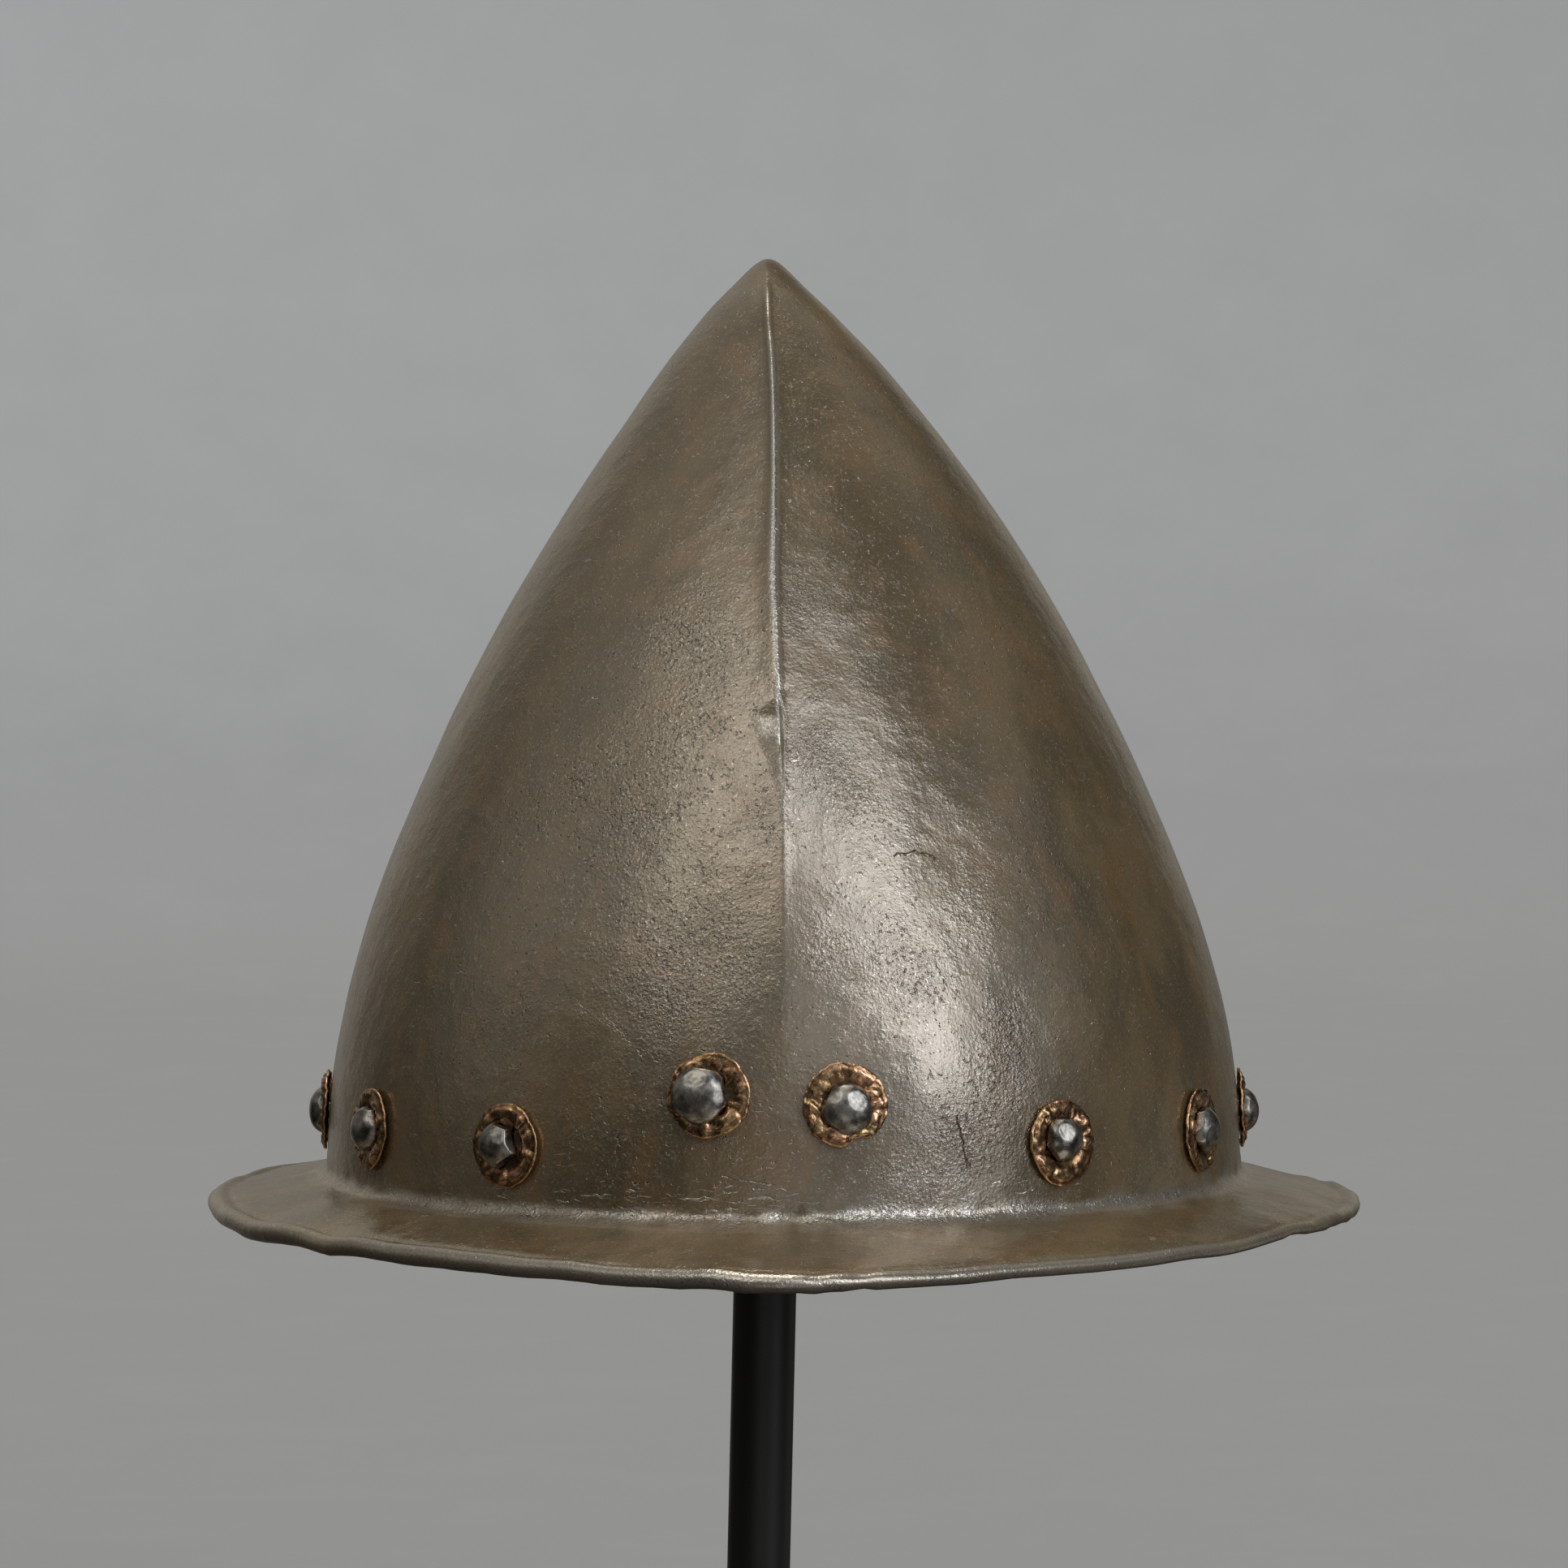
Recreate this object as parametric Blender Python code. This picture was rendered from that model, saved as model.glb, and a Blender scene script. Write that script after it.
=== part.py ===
"""Cabasset: an almond-shaped iron helmet of about 1580, on a plain post stand.

Metres, +Z up. The origin is on the surface that the stand rests on, under the middle of the helmet.
-Y is the front of the helmet, and +X is the wearer's left.
"""

import math
from collections import namedtuple

import bmesh
import bpy
from mathutils import Matrix, Vector

MM = 0.001

# ---------------------------------------------------------------- the plate
FOOT_HEIGHT = 150 * MM  # the plane where the skull meets the brim, above the surface
WALL = 1.3 * MM  # hammered iron plate
GAP = 0.3 * MM  # between pieces that touch
FOOT_FILLET = 2.6 * MM  # in the corner between skull and brim
CROWN_DEPTH = 5.5 * MM  # the last of the hollow, above its topmost section

BRIM_HALF_WIDTH = 135.9 * MM
BRIM_HALF_LENGTH = 174 * MM
BRIM_POINT = 0.6  # 0 is an ellipse, 1 is an almond that comes to a point fore and aft
BRIM_POINT_REACH = 1.3  # the greater, the nearer to its points the brim leaves the ellipse
SIDE_DROP = 8.2 * MM  # from the skull's foot down to the middle of the turned edge
END_DROP = 10.2 * MM  # the same, at the brim's front and back points

EDGE_RADIUS = 2.2 * MM  # the brim's edge is turned under, into a round bead
EDGE_SETBACK = 3.5 * MM  # from the outermost line in to where the plate starts to turn
EDGE_TOP = 1.6 * MM  # the plate's upper face above the bead's middle
EDGE_ANGLES = (90, 50, 10, -30, -75, -120)  # round the bead, from its top to its underside

# Each row is one section through the skull, from its foot to the end of its stalk, in mm. A section runs
# from a point on the front keel to a point on the back keel: y is fore and aft, rise is above the foot.
# keel is how far the crest stands out of the oval, and lean is how far the section sits towards -X.
Section = namedtuple("Section", "front_y front_rise back_y back_rise half_width keel lean")
SKULL = (
    Section(-130.0, 0.0, 130.0, 0.0, 107.8, 0.0, 0.0),
    Section(-128.6, 22.5, 128.8, 22.5, 106.6, 0.0, 0.0),
    Section(-123.6, 45.0, 124.6, 45.0, 102.2, 0.8, 0.0),
    Section(-114.3, 70.0, 116.8, 70.0, 94.1, 2.0, 0.1),
    Section(-98.6, 100.0, 103.6, 100.0, 81.1, 3.0, 0.2),
    Section(-79.0, 130.0, 87.2, 130.0, 65.7, 3.4, 0.4),
    Section(-54.6, 160.5, 67.0, 159.5, 47.0, 3.4, 0.9),
    Section(-30.0, 187.0, 49.0, 182.0, 29.1, 3.0, 2.0),
    Section(-12.0, 203.0, 38.5, 196.0, 16.2, 2.0, 3.4),
    Section(3.0, 211.0, 32.5, 204.0, 7.9, 1.0, 3.8),
    Section(12.0, 213.8, 31.5, 208.0, 4.3, 0.4, 3.8),
    Section(22.0, 214.4, 33.0, 209.6, 2.4, 0.0, 3.7),
    Section(31.0, 214.0, 35.0, 210.4, 1.9, 0.0, 3.7),
)
STALK_TIP = Vector((-3.7, 36.8, 212.6)) * MM  # the end of the stalk, from the middle of the foot
CREST_WIDTH = 2.0  # mm that the crest takes to die into the oval, and its share of the half width
CREST_SPREAD = 0.12
FOOT_ROW = 0.12  # the skull's own surface starts here, above the fillet
SKULL_ROWS = (12, 11, 10, 9, 8.25, 7.5, 6.5, 5.6, 4.8, 4, 3.3, 2.6, 2, 1.5, 1, 0.5, FOOT_ROW)
TOP_HOLLOW_ROW = 8.25  # above this the skull and its stalk are solid
COLUMNS = 72  # points round the helmet
KEEL_CROWDING = 0.1  # draws the points together at the two keels, in radians at most

# ---------------------------------------------------------------- rivets and rosettes
# Each row is one pair of rivets, placed by eye by the armourer: an angle from the front keel in degrees,
# and a rise above the skull's foot in mm, on the wearer's right (-X) and left (+X) sides.
RivetPair = namedtuple("RivetPair", "right_angle right_rise left_angle left_rise")
RIVET_PAIRS = (
    RivetPair(8.9, 26.5, 7.2, 24.4),
    RivetPair(35.0, 14.6, 35.0, 15.2),
    RivetPair(61.0, 14.6, 62.0, 14.3),
    RivetPair(90.0, 13.8, 90.0, 14.3),
    RivetPair(117.0, 14.4, 118.0, 14.0),
    RivetPair(144.0, 14.2, 145.0, 14.8),
    RivetPair(171.5, 14.6, 172.0, 14.0),
)
SHANK_RADIUS = 2 * MM
HEAD_RADIUS = 5.6 * MM
HEAD_HEIGHT = 3.1 * MM
CLENCH_RADIUS = 3.4 * MM
CLENCH_THICKNESS = 1.1 * MM
ROSETTE_RADIUS = 9.3 * MM
ROSETTE_SHEET = 0.8 * MM
ROSETTE_DISH = 0.9 * MM  # the rim stands this much further off the skull than the middle
RIVET_SIDES = 12

# ---------------------------------------------------------------- the stand
REST_ROWS = (6.5, 7.5, 8.25)  # rows of the skull's table that the rest fills
REST_UNDERSIDE = FOOT_HEIGHT + 170.5 * MM
POST_RADIUS = 7.5 * MM
POST_Y = 7.7 * MM  # under the middle of the rest
POST_LEAN = math.radians(1.3)  # the post stands a little out of plumb, towards +X at its top
BASE_RADIUS = 95 * MM
BASE_THICKNESS = 10 * MM
BASE_CHAMFER = 1.5 * MM
STAND_SIDES = 48


def section_at(row):
    """The skull's section at a fractional row of its table, on a smooth curve through all rows."""
    low = min(int(row), len(SKULL) - 2)
    share = row - low
    rows = [SKULL[min(max(low + step, 0), len(SKULL) - 1)] for step in (-1, 0, 1, 2)]
    values = []
    for before, start, end, after in zip(*rows):
        leaving, arriving = (end - before) / 2, (after - start) / 2
        values.append(
            (2 * share**3 - 3 * share**2 + 1) * start
            + (share**3 - 2 * share**2 + share) * leaving
            + (3 * share**2 - 2 * share**3) * end
            + (share**3 - share**2) * arriving
        )
    return Section(*values)


def skull_point(row, angle):
    """A point on the skull's outer face. angle runs round from the front keel, towards +X."""
    section = section_at(row)
    front = Vector((0, section.front_y, section.front_rise))
    back = Vector((0, section.back_y, section.back_rise))
    side = section.half_width * math.sin(angle)
    crest_reach = CREST_WIDTH + CREST_SPREAD * section.half_width
    hollow_beside_crest = section.keel * (1 - math.exp(-abs(side) / crest_reach))
    along = back - front
    half_length = along.length / 2 - hollow_beside_crest * abs(math.cos(angle))
    point = (front + back) / 2 - along.normalized() * half_length * math.cos(angle)
    point.x = side - section.lean
    return point * MM + Vector((0, 0, FOOT_HEIGHT))


def skull_normal(row, angle):
    """The outward normal of the skull's outer face."""
    step = 0.01
    up = skull_point(row + step, angle) - skull_point(row - step, angle)
    around = skull_point(row, angle + step) - skull_point(row, angle - step)
    return around.cross(up).normalized()


def under_skull(row, angle, depth):
    """A point this deep under the skull's outer face."""
    return skull_point(row, angle) - skull_normal(row, angle) * depth


def outline_point(angle):
    """A point on the outermost line of the brim, seen from above."""
    roundness = 1 - BRIM_POINT * (1 - abs(math.sin(angle))) ** BRIM_POINT_REACH
    return Vector((BRIM_HALF_WIDTH * math.sin(angle) * roundness, -BRIM_HALF_LENGTH * math.cos(angle), 0))


def inside_outline(angle, setback):
    """A point this far in from the brim's outermost line, and the direction straight out from it."""
    step = 0.01
    along = outline_point(angle + step) - outline_point(angle - step)
    outward = Vector((along.y, -along.x, 0)).normalized()
    return outline_point(angle) - outward * setback, outward


def brim_drop(angle):
    """How far the middle of the turned edge lies below the skull's foot."""
    return SIDE_DROP + (END_DROP - SIDE_DROP) * math.cos(angle) ** 2


def brim_point(share, angle, depth):
    """A point this deep under the brim's upper face, at a share of its width from the skull's foot."""
    plate_end, _ = inside_outline(angle, EDGE_SETBACK)
    point = skull_point(0, angle).lerp(plate_end, share)
    point.z = FOOT_HEIGHT + (EDGE_TOP - brim_drop(angle)) * share - depth
    return point


def bead_point(degrees, angle):
    """A point on the turned edge, at this angle round it from its outermost line."""
    middle, outward = inside_outline(angle, EDGE_RADIUS)
    middle.z = FOOT_HEIGHT - brim_drop(angle)
    turn = math.radians(degrees)
    return middle + (outward * math.cos(turn) + Vector((0, 0, math.sin(turn)))) * EDGE_RADIUS


def fillet_point(share, angle, depth):
    """Between the skull's wall and the brim: share 0 is on the wall, 1 is on the brim."""
    brim_width = (brim_point(1, angle, 0) - brim_point(0, angle, 0)).length
    wall = under_skull(FOOT_ROW, angle, depth)
    corner = under_skull(0, angle, depth)
    corner.z = FOOT_HEIGHT - depth
    brim = brim_point(FOOT_FILLET / brim_width, angle, depth)
    return (1 - share) ** 2 * wall + 2 * share * (1 - share) * corner + share**2 * brim


def column_angles(count):
    """Angles round the helmet, closer together at the two keels."""
    even = [2 * math.pi * i / count for i in range(count)]
    return [angle - KEEL_CROWDING * math.sin(2 * angle) for angle in even]


def closed_skin(rings, first_pole, last_pole):
    """A mesh from rings of points, joined in order and closed by a fan of triangles at each end."""
    mesh = bmesh.new()
    loops = [[mesh.verts.new(point) for point in ring] for ring in rings]
    for near, far in zip(loops, loops[1:]):
        for i, _ in enumerate(near):
            mesh.faces.new((near[i - 1], near[i], far[i], far[i - 1]))
    for pole, loop in ((first_pole, loops[0]), (last_pole, loops[-1])):
        tip = mesh.verts.new(pole)
        for i, _ in enumerate(loop):
            mesh.faces.new((loop[i - 1], loop[i], tip))
    bmesh.ops.recalc_face_normals(mesh, faces=mesh.faces)
    return mesh


def turned(profile, sides):
    """A mesh from a profile of (radius, height), spun round Z. It ends on the axis, or where it began."""
    mesh = bmesh.new()
    corners = [mesh.verts.new((radius, 0, height)) for radius, height in profile]
    edges = [mesh.edges.new(pair) for pair in zip(corners, corners[1:])]
    full_turn = 2 * math.pi
    bmesh.ops.spin(mesh, geom=corners + edges, axis=(0, 0, 1), angle=full_turn, steps=sides, use_merge=True)
    bmesh.ops.remove_doubles(mesh, verts=mesh.verts, dist=0.001 * MM)
    bmesh.ops.recalc_face_normals(mesh, faces=mesh.faces)
    return mesh


def smooth_data(name, mesh, material):
    """The mesh with its material, shaded smooth but for its sharp edges."""
    data = bpy.data.meshes.new(name)
    mesh.to_mesh(data)
    mesh.free()
    data.shade_smooth()
    data.set_sharp_from_angle(angle=math.radians(38))
    data.materials.append(material)
    return data


def placed(name, data, matrix=Matrix.Identity(4)):
    """A new object that shows this mesh at this place."""
    made = bpy.data.objects.new(name, data)
    made.matrix_world = matrix
    bpy.context.scene.collection.objects.link(made)
    return made


def finish(name, colour, roughness, metallic):
    material = bpy.data.materials.new(name)
    material.use_nodes = True
    shader = material.node_tree.nodes["Principled BSDF"]
    shader.inputs["Base Color"].default_value = (*colour, 1)
    shader.inputs["Roughness"].default_value = roughness
    shader.inputs["Metallic"].default_value = metallic
    return material


def make_skull_and_brim(material, cutter):
    """Skull and brim, raised from one plate: outer face, turned edge, then the inner face back up."""
    angles = column_angles(COLUMNS)
    rings = [[skull_point(row, a) for a in angles] for row in SKULL_ROWS]
    rings += [[fillet_point(share, a, 0) for a in angles] for share in (0.5, 1)]
    rings += [[brim_point(1, a, 0) for a in angles]]
    rings += [[bead_point(degrees, a) for a in angles] for degrees in EDGE_ANGLES]
    rings += [[brim_point(1, a, WALL) for a in angles]]
    rings += [[fillet_point(share, a, WALL) for a in angles] for share in (1, 0.5)]
    hollow_rows = sorted(row for row in SKULL_ROWS if row <= TOP_HOLLOW_ROW)
    rings += [[under_skull(row, a, WALL) for a in angles] for row in hollow_rows]

    stalk_tip = STALK_TIP + Vector((0, 0, FOOT_HEIGHT))
    crown = sum(rings[-1], Vector()) / COLUMNS + Vector((0, 0, CROWN_DEPTH))
    shell = placed("skull_and_brim", smooth_data("plate", closed_skin(rings, stalk_tip, crown), material))
    drilled = shell.modifiers.new("rivet_holes", "BOOLEAN")
    drilled.operation = "DIFFERENCE"
    drilled.object = cutter


def rivet_places():
    """A matrix for each rivet: its origin on the skull's outer face, its Z axis pointing outwards."""
    on_left = [(pair.left_angle, pair.left_rise) for pair in RIVET_PAIRS]
    on_right = [(-pair.right_angle, pair.right_rise) for pair in RIVET_PAIRS]
    places = []
    for degrees, rise in on_left + on_right:
        row, angle = rise / SKULL[1].front_rise, math.radians(degrees)
        outward = skull_normal(row, angle).to_track_quat("Z", "Y").to_matrix().to_4x4()
        places.append(Matrix.Translation(skull_point(row, angle)) @ outward)
    return places


def make_hole_cutter(places):
    """One helper with a round bar through the plate at each rivet."""
    mesh = bmesh.new()
    radius = SHANK_RADIUS + GAP
    bar = {"segments": RIVET_SIDES, "radius1": radius, "radius2": radius, "depth": 8 * WALL}
    for place in places:
        bmesh.ops.create_cone(mesh, cap_ends=True, matrix=place, **bar)
    data = bpy.data.meshes.new("rivet_bars")
    mesh.to_mesh(data)
    mesh.free()
    cutter = placed("rivet_hole_cutter", data)
    cutter.hide_render = True
    cutter.display_type = "WIRE"
    return cutter


def rivet_profile():
    """A hammered dome, a shank through the plate, and the end clenched over inside."""
    seat = ROSETTE_SHEET + 2 * GAP
    inside = -WALL - GAP
    return (
        (0, inside - CLENCH_THICKNESS),
        (CLENCH_RADIUS * 0.8, inside - CLENCH_THICKNESS),
        (CLENCH_RADIUS, inside),
        (SHANK_RADIUS, inside),
        (SHANK_RADIUS, seat),
        (HEAD_RADIUS * 0.95, seat),
        (HEAD_RADIUS, seat + HEAD_HEIGHT * 0.25),
        (HEAD_RADIUS * 0.72, seat + HEAD_HEIGHT * 0.75),
        (0, seat + HEAD_HEIGHT),
    )


def rosette_profile():
    """A washer of thin copper sheet, its rim standing off the skull."""
    hole, rim = SHANK_RADIUS + GAP, ROSETTE_RADIUS
    return (
        (hole, GAP),
        (rim * 0.7, GAP),
        (rim, GAP + ROSETTE_DISH),
        (rim * 0.97, GAP + ROSETTE_DISH + ROSETTE_SHEET),
        (rim * 0.67, GAP + ROSETTE_SHEET),
        (hole, GAP + ROSETTE_SHEET),
        (hole, GAP),
    )


def make_rivets(places, iron, copper):
    rivet = smooth_data("rivet", turned(rivet_profile(), RIVET_SIDES), iron)
    rosette = smooth_data("rosette", turned(rosette_profile(), RIVET_SIDES), copper)
    for number, place in enumerate(places, start=1):
        placed(f"rivet_{number:02d}", rivet, place)
        placed(f"rosette_{number:02d}", rosette, place)


def make_rest(material):
    """The padded block on top of the post, shaped to the inside of the skull under its crown."""
    angles = column_angles(COLUMNS // 2)
    rings = [[under_skull(row, a, WALL + 2 * GAP) for a in angles] for row in REST_ROWS]
    for point in rings[0]:
        point.z = REST_UNDERSIDE
    underside, crown = (sum(ring, Vector()) / len(ring) for ring in (rings[0], rings[-1]))
    placed("skull_rest", smooth_data("rest", closed_skin(rings, underside, crown), material))


def make_post_and_base(material):
    """A straight round bar from the rest's underside down to a flat round plate."""
    end_tilt = POST_RADIUS * math.sin(POST_LEAN)  # how far the leaning bar's end corners rise and dip
    top_z = REST_UNDERSIDE - GAP - end_tilt
    length = (top_z - BASE_THICKNESS - GAP - end_tilt) / math.cos(POST_LEAN)
    post = turned(((0, -length), (POST_RADIUS, -length), (POST_RADIUS, 0), (0, 0)), STAND_SIDES)
    leaning = Matrix.Translation((0, POST_Y, top_z)) @ Matrix.Rotation(POST_LEAN, 4, "Y")
    placed("stand_post", smooth_data("post", post, material), leaning)

    base_profile = (
        (0, 0),
        (BASE_RADIUS - BASE_CHAMFER, 0),
        (BASE_RADIUS, BASE_CHAMFER),
        (BASE_RADIUS, BASE_THICKNESS - BASE_CHAMFER),
        (BASE_RADIUS - BASE_CHAMFER, BASE_THICKNESS),
        (0, BASE_THICKNESS),
    )
    base = smooth_data("base", turned(base_profile, STAND_SIDES), material)
    foot_x = -length * math.sin(POST_LEAN)
    placed("stand_base", base, Matrix.Translation((foot_x, POST_Y, 0)))


def main():
    for old in list(bpy.data.objects):
        bpy.data.objects.remove(old)
    iron = finish("patinated_iron", (0.11, 0.095, 0.07), 0.42, 0.9)
    rivet_iron = finish("rivet_iron", (0.23, 0.22, 0.2), 0.35, 1)
    copper = finish("copper_alloy", (0.42, 0.2, 0.09), 0.35, 1)
    black = finish("black_paint", (0.012, 0.012, 0.013), 0.4, 0)
    felt = finish("black_felt", (0.02, 0.02, 0.02), 0.9, 0)

    places = rivet_places()
    make_skull_and_brim(iron, make_hole_cutter(places))
    make_rivets(places, rivet_iron, copper)
    make_rest(felt)
    make_post_and_base(black)


main()
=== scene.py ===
"""Looks of the cabasset on its post stand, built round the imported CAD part.

Metres, +Z up. -Y is the front of the helmet, and +X is the wearer's left.
"""

import math
import random
from collections import namedtuple
from functools import partial

import bmesh
import bpy
import numpy as np
from mathutils import Matrix, Vector, noise


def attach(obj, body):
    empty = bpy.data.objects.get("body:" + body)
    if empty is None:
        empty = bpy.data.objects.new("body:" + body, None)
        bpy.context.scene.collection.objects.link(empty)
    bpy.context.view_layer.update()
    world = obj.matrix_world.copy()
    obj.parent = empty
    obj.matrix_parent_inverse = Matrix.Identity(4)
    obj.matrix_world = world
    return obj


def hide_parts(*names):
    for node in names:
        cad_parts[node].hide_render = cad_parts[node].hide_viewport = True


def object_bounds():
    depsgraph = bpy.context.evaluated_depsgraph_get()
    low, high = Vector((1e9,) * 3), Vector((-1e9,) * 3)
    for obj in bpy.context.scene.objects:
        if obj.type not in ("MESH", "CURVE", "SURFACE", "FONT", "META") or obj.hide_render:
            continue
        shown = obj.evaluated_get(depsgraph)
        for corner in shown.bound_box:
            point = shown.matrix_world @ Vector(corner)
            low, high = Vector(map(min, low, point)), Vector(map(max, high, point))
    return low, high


bl_info = {
    "name": "Cabasset on a post stand",
    "version": (1, 0, 0),
    "blender": (4, 5, 0),
    "location": "3D View > Sidebar > Cabasset",
    "description": "Forges, rivets and lights a hammered iron helmet",
    "category": "Add Mesh",
}

MM = 0.001
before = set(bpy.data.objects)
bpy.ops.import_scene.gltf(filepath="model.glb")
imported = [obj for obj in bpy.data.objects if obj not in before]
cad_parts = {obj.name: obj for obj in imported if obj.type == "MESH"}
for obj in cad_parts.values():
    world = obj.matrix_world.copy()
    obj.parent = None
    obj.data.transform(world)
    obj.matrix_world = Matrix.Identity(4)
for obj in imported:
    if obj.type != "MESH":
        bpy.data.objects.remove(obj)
CAD_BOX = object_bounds()


def table(kind, *rows):
    """Each row of plain values as a record of this kind."""
    return tuple(kind(*row) for row in rows)


# ---------------------------------------------------------------- the plate's own shape
FOOT_HEIGHT = 150 * MM  # the plane where the skull meets the brim, above the surface
FOOT_FILLET = 5 * MM  # in the corner between skull and brim
BRIM_HALF_WIDTH = 135.9 * MM
BRIM_HALF_LENGTH = 174 * MM
BRIM_POINT = 0.6  # 0 is an ellipse, 1 is an almond that comes to a point fore and aft
BRIM_POINT_REACH = 1.3  # the greater, the nearer to its points the brim leaves the ellipse
SIDE_DROP = 8.2 * MM  # from the skull's foot down to the middle of the turned edge
END_DROP = 10.2 * MM  # the same, at the brim's front and back points
EDGE_RADIUS = 2.2 * MM  # of the turned edge at the front
EDGE_SETBACK = 3.5 * MM  # from the outermost line in to where the plate starts to turn
FOOT_SINK = 1.5 * MM  # the brim starts this far below the skull's foot
EDGE_TOP = 1.6 * MM  # the plate's upper face above the bead's middle
# The hammer left the turned edge flatter on a band that faces this far above level and reaches this far.
BEVEL_FACES = math.radians(54)
BEVEL_REACH = math.radians(28)

# Each row is one section through the skull, from its foot to the end of its stalk, in mm. A section runs
# from a point on the front keel to a point on the back keel: y is fore and aft, rise is above the foot.
# keel is how far the crest stands out of the oval, and lean is how far the section sits towards -X.
Section = namedtuple("Section", "front_y front_rise back_y back_rise half_width keel lean")
SKULL = table(
    Section,
    (-130, 0, 130, 0, 107.8, 0, 0),
    (-128.6, 22.5, 128.8, 22.5, 106.6, 0, 0),
    (-123.6, 45, 124.6, 45, 102.2, 0.8, 0),
    (-114.3, 70, 116.8, 70, 94.1, 2, 0.1),
    (-98.6, 100, 103.6, 100, 81.1, 3, 0.2),
    (-79, 130, 87.2, 130, 65.7, 3.4, 0.4),
    (-54.6, 160.5, 67, 159.5, 47, 3.4, 0.9),
    (-30, 187, 49, 182, 29.1, 3, 2),
    (-12, 203, 38.5, 196, 16.2, 2, 3.4),
    (3, 211, 32.5, 204, 7.9, 1, 3.8),
    (12, 213.8, 31.5, 208, 4.3, 0.4, 3.8),
    (22, 214.4, 33, 209.6, 2.4, 0, 3.7),
    (31, 214, 35, 210.4, 1.9, 0, 3.7),
)
STALK_TIP = Vector((-3.7, 36.8, 212.6)) * MM  # the end of the stalk, from the middle of the foot
CREST_WIDTH = 2.0  # mm that the crest takes to die into the oval, and its share of the half width
CREST_SPREAD = 0.12
FOOT_ROW = 0.07  # the skull's own surface starts here, above the fillet

# The crest wanders as it was hammered: mm towards -X of the section's middle, by mm above the foot.
CREST_RISES = (84, 93, 107, 122, 141, 160, 183, 199, 206)
CREST_SHIFTS = (0, 0.3, 0.8, 1.4, 2, 1.4, 0.8, 0.7, 0.3)

# The bead hammered along the crest, by mm above the foot: its share of the height that is set, and how
# brightly it is rubbed next to the rest.
BEAD_RISES, BEAD_SHARES = (62, 85, 108, 150, 205, 209), (0, 0.3, 0.6, 0.8, 1, 0)
RUBBED_RISES, RUBBED_SHARES = (90, 108, 150, 182, 196), (0.6, 1.6, 1.4, 1, 0.2)
LEANING_RISES, LEANING_WIDTHS = (120, 165), (3.6, 1)  # how wide it slopes off towards -X

# ---------------------------------------------------------------- what four centuries left on the plate
# Knocks in the turned edge, by angle round the helmet from the front keel: reach is in degrees along the
# edge, and down is how far the edge is bent down, in mm.
Knock = namedtuple("Knock", "angle reach down")
KNOCKS = table(
    Knock,
    (-112, 14, -0.6), (-76, 4, 0.7), (-68, 4, 1.2), (-55, 2.5, 0.9), (-29, 3, -0.35), (-12, 3, -0.5),
    (6, 1.8, 0.4), (32, 5, -0.35), (47, 3.5, -0.5), (58, 3, -0.8), (62.5, 2.2, -1.0), (66, 7, -0.8),
    (72, 3.5, -0.4), (108, 9, 1.1), (160, 6, 0.7), (-150, 5, -0.6),
)
THUMBED_ANGLE, THUMBED_REACH = 76, 9  # where the edge is most uneven
CHIP_ANGLE, CHIP_REACH, CHIP_DEPTH = 13, 1.4, 0.5  # where the edge lost a chip, its depth in mm
KICKED_RISE = 4  # the bright scrape on the skull's foot above the chip, in mm
# The turned edge's radius in mm, by angle: it is rolled full on the wearer's right and pinched on the left.
EDGE_ANGLES = (-180, -110, -85, -60, -25, 10, 30, 45, 58, 66, 75, 90, 120, 180)
EDGE_RADII = (2.0, 2.2, 2.5, 2.5, 2.3, 2.2, 1.9, 1.6, 1.4, 1.5, 2.0, 2.1, 2.2, 2.0)

# Hollows hammered or knocked into the skull, by angle in degrees and rise above its foot in mm: width and
# height are half of what each takes up, and depth is how far it goes in, all in mm.
Dent = namedtuple("Dent", "angle rise width height depth")
DENTS = table(
    Dent,
    (-8, 57, 11, 16, 0.75), (-17, 100, 12, 9, -0.35), (9, 122, 9, 10, 0.3), (24, 76, 9, 12, 0.45),
    (31, 40, 8, 12, 0.5), (17, 33, 10, 12, -0.4), (-30, 72, 12, 14, 0.4), (-24, 26, 12, 10, 0.4),
    (40, 96, 12, 14, -0.4), (48, 30, 12, 12, 0.5), (63, 62, 14, 9, 0.6), (-62, 84, 14, 12, 0.5),
    (23, 12, 7, 9, 0.35), (120, 70, 16, 18, 0.8), (-135, 50, 14, 16, 0.7), (165, 90, 12, 16, 0.6),
)
# Blows that notched the keel: from the crest out to one side (reach below 0 is towards -X), with a slope
# above and a slope below the bottom of the notch, all in mm. Each tapers to nothing at its reach.
Notch = namedtuple("Notch", "rise reach above below depth")
NOTCHES = table(
    Notch,
    (109.2, -7, 4.4, 20, 1.5), (103.4, -5.5, 2.2, 2.6, 0.6),
    (114.6, 4.5, 3, 2.4, 0.4), (196.5, 3, 2, 3, 0.3),
)

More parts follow.
